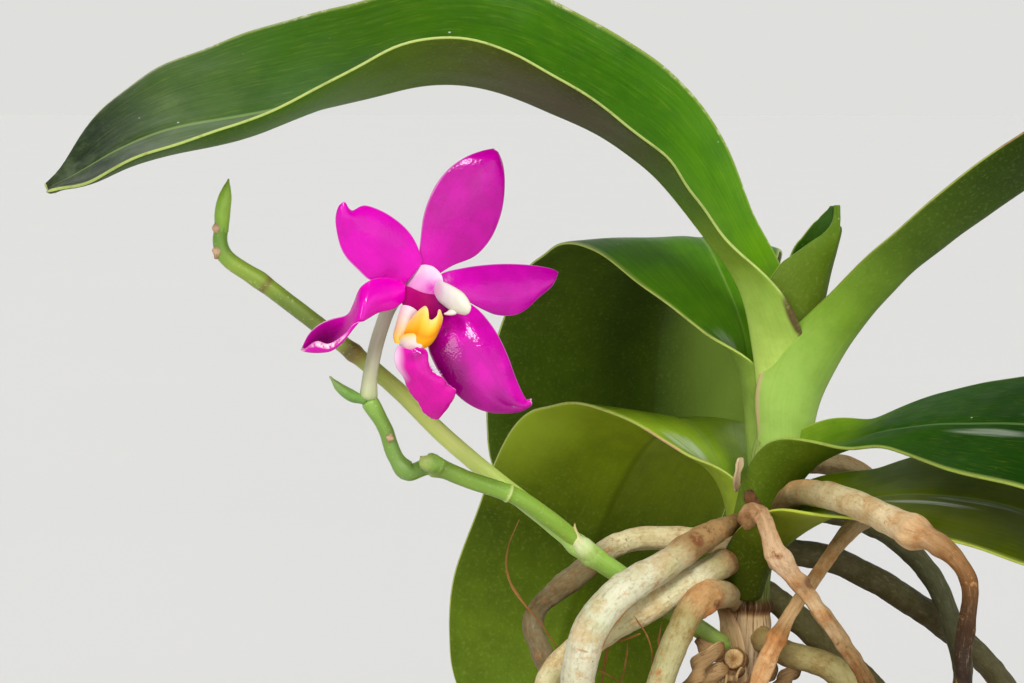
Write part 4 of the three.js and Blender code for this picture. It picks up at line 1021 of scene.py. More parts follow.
def root_relief(seed, withered, knuckles=()):
    """Swellings, knuckles, flaky skin and, on withered skin, furrows and wrinkles along the root."""
    def relief(t, angle, points):
        lift = 0.3 * lumps(points, 7, seed) + 0.16 * lumps(points, 2.6, seed)
        lift += 0.06 * lumps(points, 1.1, seed)
        rings = np.maximum(0, np.sin(36 * np.pi * t + 3 * lumps(points, 9, seed + 5))) ** 6
        furrows = 0.35 * np.cos(5 * angle + 2.5 * lumps(points, 10, seed + 2))
        furrows += 0.4 * lumps(points, 1.8, seed + 3)
        lift += 0.1 * rings + withered * furrows
        for place, reach, height in knuckles:
            swell = np.exp(-(((t - place) / reach) ** 2))
            lift += swell * height * (1 + 1.2 * lumps(points, 1.6, seed + 4))
        return lift
    return relief


for index, (root_name, root) in enumerate(ROOTS.items()):
    piece = tube(root_name + "_dressed", root["path"], root["radius"], ROOT_SIDES, ROOT_ROWS,
                 root_relief(index + 1, root.get("withered", 0), root.get("knuckles", ())))
    soften(piece)
    paint(piece, root_skin(root_name + "_skin", **root["skin"]))
    settle(piece, root["slot"], root_name)


# Old stem, dead sheaths and fibres

def lumpy_skin(height, size, seed):
    return lambda t, angle, points: height * lumps(points, size, seed)


STEM_RIM = 0.458
STEM_PATH = [
    [-3, 1, 84], [-1.5, 0.5, 100], [-0.5, 0, 118], [0.5, 0, 131], [2, 0, 148], [5, 0, 168], [8.5, 0, 184]]


def stem_relief(t, angle, points):
    """Fibres on the old stem, and the torn rim where they end and the green part begins."""
    old = t < 0.46
    fibres = 0.14 * np.cos(23 * angle + 4 * lumps(points, 6, 3))
    fibres += 0.2 * np.cos(9 * angle + 3 * lumps(points, 8, 1))
    torn = lumps(points * np.array([1, 1, 0.3]), 1.7, 4)
    rim = np.exp(-(((t - STEM_RIM - 0.012 * torn) / 0.011) ** 2)) * (0.8 + 0.9 * torn)
    return fibres * old + rim + 0.3 * lumps(points, 4, 9)


dressed_tube(
    "stem", "old_stem",
    straw(
        "old_stem_skin",
        [
            (0, 180, 144, 96), (0.25, 238, 202, 152), (0.35, 246, 218, 174), (0.438, 214, 182, 136),
            (0.446, 140, 100, 64), (0.454, 84, 56, 34), (0.468, 92, 66, 38), (0.48, 120, 130, 66),
            (0.5, 130, 150, 70), (1, 150, 176, 84)],
        0.85, 0.75, 0.25, (64, 9)),
    STEM_PATH, [[0, 5.2], [0.3, 5.2], [0.42, 4.9], [0.45, 4.3], [0.6, 4], [0.85, 2.8], [1, 1.6]], 72, 170,
    stem_relief)

dressed_tube(
    "root_cut_stub", "root_pale",
    straw(
        "cut_stub_skin",
        [
            (0, 150, 118, 74), (0.86, 176, 136, 88), (0.925, 116, 78, 44), (0.94, 168, 126, 78),
            (0.955, 218, 184, 128), (0.98, 190, 148, 94), (0.99, 148, 106, 62), (1, 138, 96, 54)],
        0.85, 0.4, 0.15, (50, 12)),
    [[-2, -4, 118.5], [-3, -8, 119.6], [-3.6, -11, 120.4]],
    [[0, 2.3], [0.5, 2.4], [0.85, 2.5], [0.93, 2.4], [1, 2.2]], 32, 40, lumpy_skin(0.2, 1.6, 2))


SCRAP_GRID = (8, 16)
SCRAP_THICKNESS = 0.6


def scrap(name, midrib, side, width, fold, seed):
    """A crumpled dead scale: a thin curled blade with a torn end."""
    spec = {"midrib": midrib, "side": [[0, side], [1, side]], "width": width, "left": [fold, fold + 30]}
    piece, across, along = flat_sheet(name, *SCRAP_GRID)
    points, normal, _ = blade_points(spec, across, along)
    torn = lumps(points, 1.6, seed) * through([[0, 0.1], [0.6, 0.5], [1, 1.2]], along)
    points = points + normal * (0.5 * lumps(points, 2.5, seed + 1))[:, None]
    points[:, 2] += torn
    shape(piece, points)
    thicken(piece, SCRAP_THICKNESS)
    soften(piece)
    return piece


dry_husk = straw(
    "dry_husk",
    [(0, 112, 80, 48), (0.3, 170, 136, 92), (0.75, 186, 152, 106), (0.92, 148, 110, 68), (1, 98, 66, 36)],
    0.85, 0.7, 0.45)
old_sheath = scrap(
    "dry_sheath_dressed", [[-5.4, -1, 108], [-5.2, -1.4, 116], [-5.5, -2, 124], [-6.4, -3, 131]],
    bearing(-90), [[0, 9], [0.6, 8], [0.9, 5.5], [1, 3]], 20, 5)
paint(
    old_sheath,
    straw(
        "old_sheath_skin",
        [
            (0, 170, 130, 86), (0.4, 232, 194, 144), (0.8, 220, 184, 136), (0.93, 140, 100, 62),
            (1, 90, 60, 36)],
        0.85, 0.5, 0.3))
settle(old_sheath, "old_stem", "dry_sheath")

SCRAPS = [
    (
        picked((682, 686, -16), (694, 674, -18.4), (708, 662, -17.6), (722, 653, -13.5)),
        [-0.6, -0.1, -0.7], 3.4),
    (
        picked((697, 639, -14), (705, 648, -15.6), (714, 654, -15), (723, 657, -12.5)),
        [-0.5, -0.3, -0.8], 1.9),
    (
        picked((688, 690, -14), (702, 682, -15), (716, 676, -14), (728, 672, -11.5)), [-0.4, -0.1, -0.9],
        2.6),
    (
        picked((744, 688, -11), (754, 680, -12.4), (766, 674, -12), (777, 671, -9)), [-0.4, -0.2, -0.9],
        2.4),
    (picked((768, 690, -8), (779, 683, -10.4), (790, 677, -10), (800, 671, -7)), [-0.5, -0.2, -0.8], 2.2),
    (picked((726, 690, -11), (729, 682, -12.6), (735, 676, -12), (741, 673, -9)), [-0.8, -0.2, -0.5], 2)]
scraps = []
for i, (path, side, width) in enumerate(SCRAPS):
    widths = [[0, width * 0.25], [0.3, width * 0.8], [0.7, width], [1, width * 0.7]]
    scraps.append(scrap(f"scale_{i}", path, side, widths, 14, i))
snag = tube(
    "snag", picked((754, 516, -12), (753, 506, -14), (751, 499, -14.6), (750, 493, -14)),
    [[0, 1], [0.4, 1.5], [0.8, 1.5], [1, 1.2]], 20, 30, lumpy_skin(0.5, 1.4, 3))
flake = scrap(
    "flake", picked((736.6, 492, -11), (737, 481, -12), (738.4, 470, -11.6), (741, 460, -10.4)),
    [-1, -0.3, 0], [[0, 0.3], [0.4, 0.7], [0.8, 0.7], [1, 0.4]], 14, 8)
dead_scales = fuse("dead_scales", scraps)
paint(dead_scales, dry_husk)
paint(
    snag, straw("snag_skin", [(0, 150, 106, 66), (0.5, 120, 82, 50), (0.88, 96, 64, 40), (1, 48, 32, 20)]))
paint(flake, straw("flake_skin", [(0, 150, 126, 90), (1, 206, 180, 140)], 0.8, 0.4, 0.2))
dead_scales = fuse("dead_scales", [dead_scales, snag, flake])
settle(dead_scales, "old_stem")

FIBRES = [
    (
        picked(
            (519, 520, -10), (508, 548, -12), (507, 572, -14), (514, 590, -15), (526, 606, -16),
            (540, 622, -17), (556, 646, -18), (566, 660, -18)),
        0.35),
    (picked((508, 578, -14), (522, 600, -15), (528, 612, -15)), 0.2),
    (picked((634, 616, -26), (646, 634, -25), (652, 652, -24), (650, 680, -22)), 0.22),
    (picked((640, 634, -22), (622, 640, -20), (610, 642, -20), (606, 656, -20), (601, 690, -18)), 0.5),
    (picked((628, 640, -20), (626, 660, -19), (620, 690, -18)), 0.3),
    (picked((590, 668, -24), (606, 674, -22), (622, 684, -20)), 0.25),
    (picked((662, 622, -18), (659, 640, -17), (662, 664, -16), (660, 690, -16)), 0.45)]
threads = []
for i, (path, thick) in enumerate(FIBRES):
    radius = [[0, thick * 0.4], [0.3, thick * 0.75], [1, thick * 0.5]]
    threads.append(tube(f"fibre_{i}", path, radius, 6, 30, lumpy_skin(0.12, 1.2, 6)))
dry_fibres = fuse("dry_fibres", threads)
paint(dry_fibres, straw("dry_fibre", [(0, 176, 128, 74), (0.5, 158, 108, 58), (1, 120, 80, 44)]))
settle(dry_fibres, "root_dry")


# Flower spike

PALE_BRANCH = [
    [-2, -1, 120], [-6, -5, 122.5], [-11, -9, 126.5], [-19.3, -14, 132.7], [-27.7, -17, 139.1],
    [-36, -20, 145.4], [-44.3, -21, 152.4], [-54.5, -22, 160.6], [-64.6, -23, 169.5], [-72.7, -24, 177.8],
    [-82.8, -24, 186.4], [-91.8, -25, 193.6], [-100.4, -26, 200.3], [-107.6, -27, 205.6],
    [-108.6, -27, 208.5], [-108.3, -27, 211.5]]
GREEN_BRANCH = [
    [-34, -19.5, 144.2], [-38.5, -22, 148.5], [-43.3, -25, 152.6], [-49.4, -28, 157.1],
    [-58.5, -30, 160.6], [-66.4, -32, 163.7], [-70.6, -33, 162.8], [-73.2, -33, 165.5],
    [-75.4, -33, 171.5], [-78.3, -33, 176.6]]


def stalk_relief(seed):
    """The faint lumps and ribs of a flower stalk."""
    return lambda t, angle, points: 0.06 * lumps(points, 3, seed) + 0.03 * np.cos(6 * angle)


pale_branch = tube(
    "pale_branch", PALE_BRANCH,
    [
        [0, 2], [0.28, 2.1], [0.3, 2.45], [0.31, 2.2], [0.325, 2.35], [0.345, 1.9], [0.6, 1.75],
        [0.725, 1.7], [0.738, 2], [0.745, 1.85], [0.755, 1.7], [0.88, 1.7], [0.9, 1.9], [0.92, 1.7],
        [0.96, 1.6], [1, 1.4]],
    18, 220, stalk_relief(1))
paint(
    pale_branch,
    stalk(
        "pale_branch_skin",
        [
            (0, 150, 178, 90), (0.28, 144, 182, 80), (0.31, 160, 190, 98), (0.36, 150, 188, 80),
            (0.45, 172, 196, 92), (0.55, 204, 214, 116), (0.71, 158, 170, 72), (0.725, 128, 112, 50),
            (0.738, 96, 84, 34), (0.752, 140, 150, 60), (0.8, 100, 116, 42), (0.85, 104, 126, 42),
            (0.873, 126, 148, 50), (0.88, 110, 96, 44), (0.887, 128, 150, 50), (0.93, 140, 166, 58),
            (0.96, 112, 152, 50), (1, 104, 148, 46)]))
green_branch = tube(
    "green_branch", GREEN_BRANCH,
    [
        [0, 1.5], [0.2, 1.8], [0.37, 1.75], [0.385, 2.05], [0.39, 1.8], [0.43, 1.75], [0.6, 1.8],
        [0.65, 2.15], [0.675, 1.7], [0.71, 1.65], [0.75, 2.1], [0.8, 1.6], [0.92, 1.5], [1, 1.8]],
    18, 150, stalk_relief(2))
paint(
    green_branch,
    stalk(
        "green_branch_skin",
        [
            (0, 132, 166, 58), (0.36, 122, 156, 52), (0.383, 120, 154, 50), (0.387, 190, 200, 124),
            (0.395, 124, 160, 54), (0.63, 114, 144, 50), (0.66, 144, 166, 80), (0.69, 102, 136, 56),
            (0.76, 116, 150, 66), (0.86, 118, 152, 62), (0.93, 120, 156, 62), (1, 134, 172, 74)]))
spike = fuse("flower_spike_dressed", [pale_branch, green_branch])
settle(spike, "spike", "flower_spike")

BRACTS = [
    (
        [
            [-29.5, -17.7, 140.5], [-32.5, -19, 142.9], [-35.4, -20.6, 145.4], [-37, -21.8, 147.6],
            [-37.2, -22.4, 150.6]],
        [[0, 1.8], [0.3, 2.15], [0.55, 2.25], [0.75, 1.4], [0.9, 0.55], [1, 0.15]], "pale"),
    (
        picked((440, 466, -35), (431, 463, -35.6), (425, 461, -36), (420.6, 456.4, -35.6)),
        [[0, 1.7], [0.35, 2], [0.7, 1.7], [0.88, 0.8], [1, 0.2]], "green"),
    (
        picked((217.5, 223, -27.6), (216.6, 229, -28), (218, 234, -27.8)),
        [[0, 0.5], [0.5, 0.9], [1, 0.4]], "scar"),
    (
        picked((217, 246, -27.6), (217, 252, -28), (216, 258, -27.6)), [[0, 0.5], [0.4, 1], [1, 0.4]],
        "scar"),
    (
        picked((391, 434, -34.6), (390, 438, -34.8), (389, 442, -34.6)), [[0, 0.3], [0.5, 0.8], [1, 0.3]],
        "scar")]
bract_skins = {
    "pale": stalk(
        "bract_skin",
        [
            (0, 144, 186, 72), (0.35, 146, 184, 74), (0.52, 172, 194, 112), (0.66, 196, 204, 150),
            (0.8, 202, 186, 136), (1, 168, 116, 66)],
        0.6, 0.6, 0.5),
    "green": stalk(
        "node_bract_skin",
        [
            (0, 112, 144, 54), (0.5, 118, 150, 58), (0.8, 172, 184, 100), (0.9, 150, 110, 66),
            (1, 110, 70, 40)],
        0.5),
    "scar": straw(
        "scar_skin", [(0, 206, 168, 128), (0.5, 222, 186, 148), (1, 170, 124, 84)], 0.8, 0.5, 0.5)}
collars = []
for i, (path, radius, look) in enumerate(BRACTS):
    collar = tube(f"collar_{i}", path, radius, 16, 30, lumpy_skin(0.12, 1.4, 5))
    paint(collar, bract_skins[look])
    collars.append(collar)
node_bracts = fuse("node_bracts", collars)
settle(node_bracts, "spike")

dressed_tube(
    "spike_tip_bract", "spike",
    stalk(
        "tip_bract_skin", [(0, 128, 168, 56), (0.3, 146, 186, 64), (0.7, 156, 196, 66), (1, 120, 158, 52)]),
    [[-108.3, -27, 210.6], [-108, -27, 215], [-107.3, -27, 218.6], [-106.8, -27, 221]],
    [[0, 1.4], [0.3, 1.6], [0.6, 1.45], [0.85, 0.75], [1, 0.2]], 18, 40, stalk_relief(3))
dressed_tube(
    "spike_side_bract", "spike",
    stalk(
        "side_bract_skin",
        [(0, 106, 148, 62), (0.5, 110, 152, 66), (0.85, 140, 170, 92), (1, 196, 206, 150)]),
    [[-79.6, -33.6, 177.2], [-81.9, -34, 178.1], [-84.2, -35, 179.8], [-86.1, -36, 182.1]],
    [[0, 1.1], [0.3, 1.55], [0.7, 1.1], [1, 0.3]], 14, 30, stalk_relief(4), 0.8)
dressed_tube(
    "flower_pedicel", "bloom_white",
    stalk(
        "pedicel_skin",
        [(0, 166, 182, 116), (0.1, 184, 188, 148), (0.4, 188, 184, 158), (1, 180, 174, 156)], 0.4, 0.15,
        0.2),
    [
        [-78.6, -33.3, 177.9], [-78.4, -33, 181.2], [-77.5, -33, 186.2], [-76.1, -33, 191.2],
        [-74.1, -33, 196.2], [-71.4, -33.4, 199.2], [-69.5, -34.6, 200.7]],
    [[0, 1.85], [0.12, 1.6], [0.3, 1.45], [0.8, 1.45], [1, 1.6]], 18, 70, stalk_relief(5))


# The bloom

def rails_surface(rails, across, along):
    """A sheet stretched over three smooth rails, each a list of points from base to tip."""
    sides = []
    for rail in rails:
        line, _ = dense_line(rail)
        steps = np.linspace(0, 1, len(line))
        sides.append(np.stack([np.interp(along, steps, line[:, k]) for k in range(3)], -1))
    x = (1 - 2 * across)[:, None]
    left, middle, right = sides
    return left * x * (x + 1) / 2 + middle * (1 - x * x) + right * x * (x - 1) / 2


def rails_of(outline, crown):
    """Three rails from rows of (left u, v, right u, v, left depth, right depth)."""
    left = [seen(u, v, depth) for u, v, _, _, depth, _ in outline]
    right = [seen(u, v, depth) for _, _, u, v, _, depth in outline]
    lift = through(crown, np.linspace(0, 1, len(outline)))
    middle = [(a + b) / 2 + BLOOM_FACE * h for a, b, h in zip(left, right, lift)]
    return left, middle, right


TEPAL_GRID = (22, 44)


def make_tepal(name, rails, skin, thickness=0.75, ripple=0.15, edge=None, flip=False):
    """A thin waved sheet of the bloom; edge adds mm by place, and flip turns its upper face over."""
    piece, across, along = flat_sheet(name + "_dressed", *TEPAL_GRID)
    points = rails_surface(rails, 1 - across if flip else across, along)
    side = np.abs(1 - 2 * across)
    wave = ripple * lumps(points, 4, sum(map(ord, name)) % 13) * (0.4 + side**2)
    points = points + BLOOM_FACE * wave[:, None]
    if edge is not None:
        points = points + edge(across, along)
    shape(piece, points)
    thicken(piece, thickness, (0.55, 1 - side**2))
    soften(piece)
    paint(piece, skin)
    return piece


def lofted(name, rows, sides=28, steps=44, lumpy=0.1):
    """A closed body from rows of (upper u, v, lower u, v, depth, half its thickness in mm)."""
    dome = 0.12
    piece, across, along = flat_sheet(name, sides, steps)
    upper = [seen(u, v, depth) for u, v, _, _, depth, _ in rows]
    lower = [seen(u, v, depth) for _, _, u, v, depth, _ in rows]
    middle = rails_surface((upper, upper, upper), across, along)
    reach = (middle - rails_surface((lower, lower, lower), across, along)) / 2
    middle = middle - reach
    thick = through([(i / (len(rows) - 1), row[5]) for i, row in enumerate(rows)], along)
    rise = np.sqrt(1 - (1 - np.clip(np.minimum(along, 1 - along) / dome, 0, 1)) ** 2)
    angle = 2 * np.pi * across
    points = middle + reach * (rise * np.cos(angle))[:, None]
    points = points + BLOOM_FACE * (rise * thick * np.sin(angle))[:, None]
    points = points + BLOOM_FACE * (lumpy * rise * lumps(points, 1.8, len(name)))[:, None]
    shape(piece, points)
    close_seams(piece)
    return piece


def crease(across, along):
    """The fold down the middle of the lower right sepal."""
    depth = -0.7 * np.exp(-(((across - 0.5) / 0.09) ** 2))
    depth *= through([[0, 0], [0.45, 0.2], [0.8, 1], [1, 0.2]], along)
    return BLOOM_FACE * depth[:, None]


TEPALS = {
    "sepal_dorsal": {
        "outline": [
            (417, 268, 437, 276, -37.5, -37), (420, 243, 453, 266, -37.6, -36),
            (423, 218, 476, 256, -37.4, -34.6), (432, 191, 492, 238, -37, -33.3),
            (446, 171, 502, 213, -36, -32.4), (464, 157, 505, 182, -34.4, -31.4),
            (481, 150.5, 503, 162, -32.6, -30.8), (494, 148, 498, 151, -31.2, -31)],
        "crown": [[0, 0.3], [0.4, 1.4], [0.8, 1.7], [1, 0.1]],
        "skin": {"deep": (168, 0, 134), "bright": (184, 0, 149), "pale_edge": 0.5}},
    "petal_left": {
        "outline": [
            (422, 262, 405, 283, -37.8, -39), (415, 242, 388, 279, -38.6, -40.4),
            (406, 229, 370, 280, -39.4, -42), (393, 218, 357, 269, -40.4, -43.2),
            (379, 210, 345, 256, -41.6, -44.4), (364, 206, 338.6, 241, -42.8, -45),
            (352, 212, 336.4, 222, -44.2, -45.4), (346, 207.5, 337.8, 210, -44.6, -45.4),
            (343.4, 202, 341.6, 202, -45, -45.2)],
        "crown": [[0, 0.3], [0.4, 1.5], [0.8, 1.2], [1, 0]],
        "skin": {"deep": (196, 0, 160), "bright": (212, 0, 174), "pale_edge": 0.8}},
    "petal_right": {
        "outline": [
            (434, 277, 444, 295, -38, -39), (447, 271, 464, 300, -36.8, -38),
            (468, 266.5, 481, 309, -35, -36.8), (492, 263.6, 497, 315.5, -32.6, -35),
            (514, 263.3, 515, 315.5, -30.4, -33), (532, 264.5, 526, 310, -28.6, -31.4),
            (547, 267, 538, 299, -27.2, -29.8), (555, 269.5, 551.5, 287, -26.6, -28),
            (558.6, 272, 557.6, 275, -26.4, -26.6)],
        "crown": [[0, 0.3], [0.4, 1.4], [0.8, 1.2], [1, 0.1]],
        "skin": {
            "deep": (168, 0, 138), "bright": (184, 0, 152), "pale_edge": 0.4,
            # Painted shade towards the tip.
            "painted_shade": ((0.5, 1, 0.9, 0.35, 0.35),)}},
    "sepal_lower_right": {
        "outline": [
            (440, 309, 459, 300, -39, -38.6), (433, 327, 474, 307, -41, -39.4),
            (428, 345, 487, 320, -42.4, -40.4), (435, 365, 499, 338, -43.6, -41.6),
            (448, 385, 508, 358, -44.4, -42.4), (466, 402, 515, 378, -44.8, -43),
            (486, 410.5, 522, 394, -45, -43.6), (511, 410.5, 527, 401, -44.8, -44.2),
            (526, 406, 532.6, 399.5, -44.6, -44.6)],
        "crown": [[0, 0.8], [0.3, 2.2], [0.7, 2.0], [0.9, 1], [1, 0.1]], "edge": crease,
        "skin": {
            "deep": (176, 0, 142), "bright": (200, 0, 160), "pale_edge": 0.5,
            # Ovals of painted shade, one of them the lip's shadow along the left edge.
            "painted_shade": (
                (0.1, 0.42, 0.42, 0.5, 0.85), (0.45, 0.8, 0.4, 0.35, 0.6), (0.0, 0.42, 0.14, 0.1, 0.8))}}}


for tepal_name, tepal in TEPALS.items():
    petal = make_tepal(tepal_name, rails_of(tepal["outline"], tepal["crown"]),
                       petal_skin(tepal_name + "_skin", **tepal["skin"]), edge=tepal.get("edge"))
    settle(petal, "bloom_magenta", tepal_name)

TWISTED = (
    picked(
        (405, 284, -38.4), (392, 279, -40), (374, 279.6, -42.2), (362, 287, -43.6), (355, 303, -42.8),
        (348, 315, -41.6), (335, 318.4, -40.6), (321, 323.6, -40), (309, 334, -40.4), (301.4, 350, -42)),
    picked(
        (404, 291, -39.8), (391, 293, -41.8), (376, 297, -44.4), (365, 304, -46), (359, 318, -46.4),
        (351, 331, -46), (341, 342, -45.4), (330, 350, -44.8), (317, 353, -44), (301, 351.6, -42.4)),
    picked(
        (404, 300, -39.6), (392, 309, -41.4), (377, 312.4, -43.8), (366, 319, -45.8), (360, 322, -47.6),
        (354, 324, -47.8), (346, 333, -47.4), (328, 344, -46.2), (316, 341, -45), (302, 350.6, -42.8)))
sepal_left = make_tepal(
    "sepal_lower_left", TWISTED,
    petal_skin(
        "sepal_lower_left_skin", (200, 0, 160), (216, 0, 170), 0.7,
        # A painted highlight near the end of the lower edge, and painted shade over the twisted end.
        streaks=((0.93, 0.8, 0.09, 0.2, 0.95),), painted_shade=((0.28, 0.82, 0.52, 0.42, 1),)),
    ripple=0.1)
settle(sepal_left, "bloom_magenta", "sepal_lower_left")


def ragged(across, along):
    """The uneven end of the lip."""
    edge = np.abs(1 - 2 * across) ** 6
    right = np.where(across > 0.5, 1, 0.4)
    teeth = 0.4 * np.sin(61 * along + 5 * across) * np.sin(23 * along) * edge * right * (along > 0.35)
    return np.stack([teeth, 0 * teeth, 0.5 * teeth], -1)


MIDLOBE = [
    (399, 345, 417, 350, -46.6, -47.4), (395.6, 356, 426, 352, -46.4, -48.2),
    (397.6, 367, 427, 361, -46.6, -48.6), (405, 377, 430, 371, -47, -48.8),
    (409, 389, 441, 377.5, -47.2, -48.6), (417, 400, 447, 384, -47.2, -48),
    (423, 411, 455, 391, -46.8, -47.2), (430, 416, 448, 402, -46.2, -46.8),
    (434.5, 417, 438, 414, -45.8, -46)]
midlobe = make_tepal(
    "lip_midlobe", rails_of(MIDLOBE, [[0, 1.6], [0.4, 1.4], [0.7, 0.9], [1, 0.1]]),
    petal_skin(
        # Painted shade in the fold near the base.
        "lip_midlobe_skin", (186, 0, 138), (208, 0, 152), 0.6, painted_shade=((0.6, 0.13, 0.42, 0.13, 0.5),),
        pale=((0.0, 0.12, 0.34, 0.26, 1), (0.0, 0.3, 0.3, 0.16, 0.55))),
    1.1, 0.25, ragged)
settle(midlobe, "bloom_magenta", "lip_midlobe")

CUP = (
    picked(
        (399, 339, -44), (404, 344.5, -45.6), (409, 349, -47), (412, 350, -47.6), (415.5, 350.5, -48),
        (420, 350, -48.2), (425.5, 348.6, -48), (431, 344.5, -47.4), (435.5, 338, -46)),
    picked(
        (401, 333, -44.6), (408, 332.6, -46.8), (415.5, 332.6, -48.2), (419, 333, -48.8),
        (423.6, 335.4, -49), (428, 336.4, -49), (433.6, 334.6, -48.4), (438, 331, -47.4),
        (441, 327.4, -46)),
    picked(
        (405, 326, -44.4), (411.4, 317.6, -45), (418.4, 309.8, -45.8), (425.4, 305.2, -46.2),
        (428.4, 309, -46.6), (430, 319.6, -47.4), (436, 316.4, -47.2), (440.2, 308.8, -46.4),
        (443.4, 318, -45.6)))
cup = make_tepal(
    "lip_side_lobes", CUP,
    waxy(
        "lip_yellow",
        [
            (0, 246, 208, 130), (0.14, 244, 192, 84), (0.34, 246, 172, 34), (0.52, 230, 136, 6),
            (0.64, 240, 158, 18), (0.9, 236, 158, 12), (1, 244, 190, 90)],
        0.5, True, 0.2),
    0.9, 0.08, flip=True)
CLAW = (
    picked(
        (403, 306.4, -41), (400.6, 314.5, -42), (397.4, 325.5, -43), (395.5, 335.5, -44),
        (397.4, 343, -45)),
    picked(
        (410, 308, -42.4), (405.6, 317, -43.6), (402, 328, -44.6), (398.6, 338, -45.2),
        (399, 343.6, -45.4)),
    picked(
        (417.6, 312.6, -41.6), (411, 319, -43), (406.4, 329, -44.2), (401.4, 340, -45),
        (400.4, 344.6, -45.2)))
claw = make_tepal(
    "lip_claw", CLAW,
    waxy(
        "lip_claw_skin",
        [
            (0, 232, 200, 212), (0.35, 226, 188, 172), (0.6, 228, 176, 122), (0.8, 240, 178, 66),
            (1, 244, 176, 50)],
        0.5),
    0.9, 0.05)
lip_sides = fuse("lip_side_lobes_dressed", [cup, claw])
settle(lip_sides, "bloom_yellow", "lip_side_lobes")

callus = lofted(
    "lip_callus",
    [
        (397.6, 339, 400, 347, -45.8, 0.5), (402, 335.6, 403.4, 351, -47, 0.8),
        (409, 333.4, 411, 352.4, -47.8, 1), (416, 333.6, 417.6, 351.4, -48, 1),
        (421.8, 336.6, 422, 347.6, -48, 0.7), (425, 341, 424.6, 344, -47.8, 0.3)],
    lumpy=0.4)
paint(
    callus,
    waxy(
        "callus_skin",
        [
            (0, 250, 186, 70), (0.06, 246, 190, 90), (0.13, 228, 200, 160), (0.22, 222, 204, 196),
            (0.38, 216, 190, 190), (0.5, 222, 150, 190), (0.7, 222, 150, 190), (1, 250, 186, 70)],
        0.55, True, 0.2, blush=((0.22, 1, 0.5, 0.3, 0.9, (236, 176, 80)),)))
settle(callus, "bloom_white")

COLUMN = [
    (417.5, 267, 402, 288, -38, 1.2), (426, 264.8, 410, 292, -39.2, 2.4),
    (434, 267, 421, 296.8, -40, 2.6), (439.5, 273, 430, 297.4, -41.2, 2.4),
    (441.4, 279.5, 436, 296, -42.2, 1.9), (440, 285, 438, 293, -42.8, 1.2)]
FACE = [
    (401, 284, 400.6, 304, -38.6, 1), (410, 287, 408, 311, -39.8, 1.4), (421, 292, 420, 313, -41.2, 1.5),
    (430, 294, 429, 319, -42, 1.4), (437, 294, 434, 319.6, -42.6, 1.3), (443, 299, 439, 314, -43.2, 1),
    (447.6, 306, 446.6, 313, -43.6, 0.6)]
CAP = [
    (437, 283.6, 435.4, 292.4, -43.2, 1.6), (441, 281.4, 438.6, 300.4, -43.8, 2.3),
    (448, 283.6, 444.2, 305.8, -44.6, 2.6), (456, 287.8, 450.4, 310.4, -45.4, 2.6),
    (463.6, 293.4, 458, 313.6, -46, 2.3), (468.4, 300.6, 464.4, 314.4, -46.3, 1.7),
    (469.6, 305, 467.4, 311, -46.4, 1.1)]
BEAK = [
    (455.6, 309.6, 457, 314, -46, 0.6), (450.6, 309.6, 451.6, 315.4, -46.2, 0.6),
    (446.4, 312.2, 447.4, 315.2, -46.2, 0.4), (443.6, 313.4, 444, 314.6, -46, 0.2)]
column_body = lofted("column_body", COLUMN, lumpy=0.5)
paint(
    column_body,
    waxy(
        "column_skin",
        [
            (0, 230, 212, 224), (0.12, 226, 200, 218), (0.24, 222, 160, 208), (0.36, 224, 146, 204),
            (0.44, 216, 130, 198), (0.5, 196, 60, 160), (0.75, 190, 50, 160), (1, 230, 212, 224)],
        0.4, True, 0.3, blush=((0.29, 0.47, 0.15, 0.34, 1, (206, 14, 170)),)))
# The column's underside, filling the dark hollow below it; its magenta, darker towards the cap end, is
# partly its own colour and partly painted shade.
column_foot = lofted("column_foot", FACE, lumpy=0.3)
paint(
    column_foot,
    waxy(
        "column_foot_skin", [(0, 176, 0, 116), (0.4, 150, 0, 88), (0.7, 126, 0, 90), (1, 132, 0, 104)],
        0.6, shine=0.1))
column = fuse("column_dressed", [column_body, column_foot])
settle(column, "bloom_white", "column")

cap = lofted("anther_cap_dressed", CAP, lumpy=0.25)
beak = lofted("cap_beak", BEAK, 16, 16)
paint(
    cap,
    waxy(
        "anther_cap_skin",
        [
            (0, 220, 170, 200), (0.12, 216, 204, 206), (0.5, 214, 210, 194), (0.85, 218, 214, 190),
            (1, 220, 210, 204)],
        0.45, coat=0.1))
paint(beak, waxy("beak_skin", [(0, 218, 210, 190), (1, 222, 196, 196)], 0.45, coat=0.1))
cap_whole = fuse("anther_cap_whole", [cap, beak])
settle(cap_whole, "bloom_white", "anther_cap")

HAIRS = [
    ((428, 362), (431, 366), (435, 367)), ((429, 366), (433, 369), (437, 369)),
    ((431, 369), (436, 372), (440, 371)), ((432, 372), (437, 375), (442, 374)),
    ((428, 364), (430, 370), (434, 373)), ((430, 368), (433, 374), (438, 376))]
hairs = []
for i, (a, b, c) in enumerate(HAIRS):
    path = [seen(*a, -48.4), seen(*b, -49.4), seen(*c, -49)]
    hairs.append(tube(f"hair_{i}", path, [[0, 0.12], [1, 0.06]], 5, 12))
lip_hairs = fuse("lip_hairs", hairs)
paint(lip_hairs, two_tone("hair", 0.5, (1,), (206, 150, 200), (226, 190, 222)))
settle(lip_hairs, "bloom_magenta")


# Clay pot and bark

POT_SIDES = 112
POT_RINGS = [
    (36.5, 0), (37.4, 0.4), (38, 1.5), (51.4, 82.2), (51.7, 83), (55.4, 83), (56.5, 83.5), (57, 84.5),
    (57, 97.6), (56.6, 99.2), (55.5, 100), (51.4, 100), (50, 99.4), (49.4, 98), (33.8, 8), (33, 7),
    (8, 7), (1.2, 7)]
DRAINS = 4
DRAIN_RADIUS = 4
DRAIN_RING = 21
DRILL_DEPTH = 40


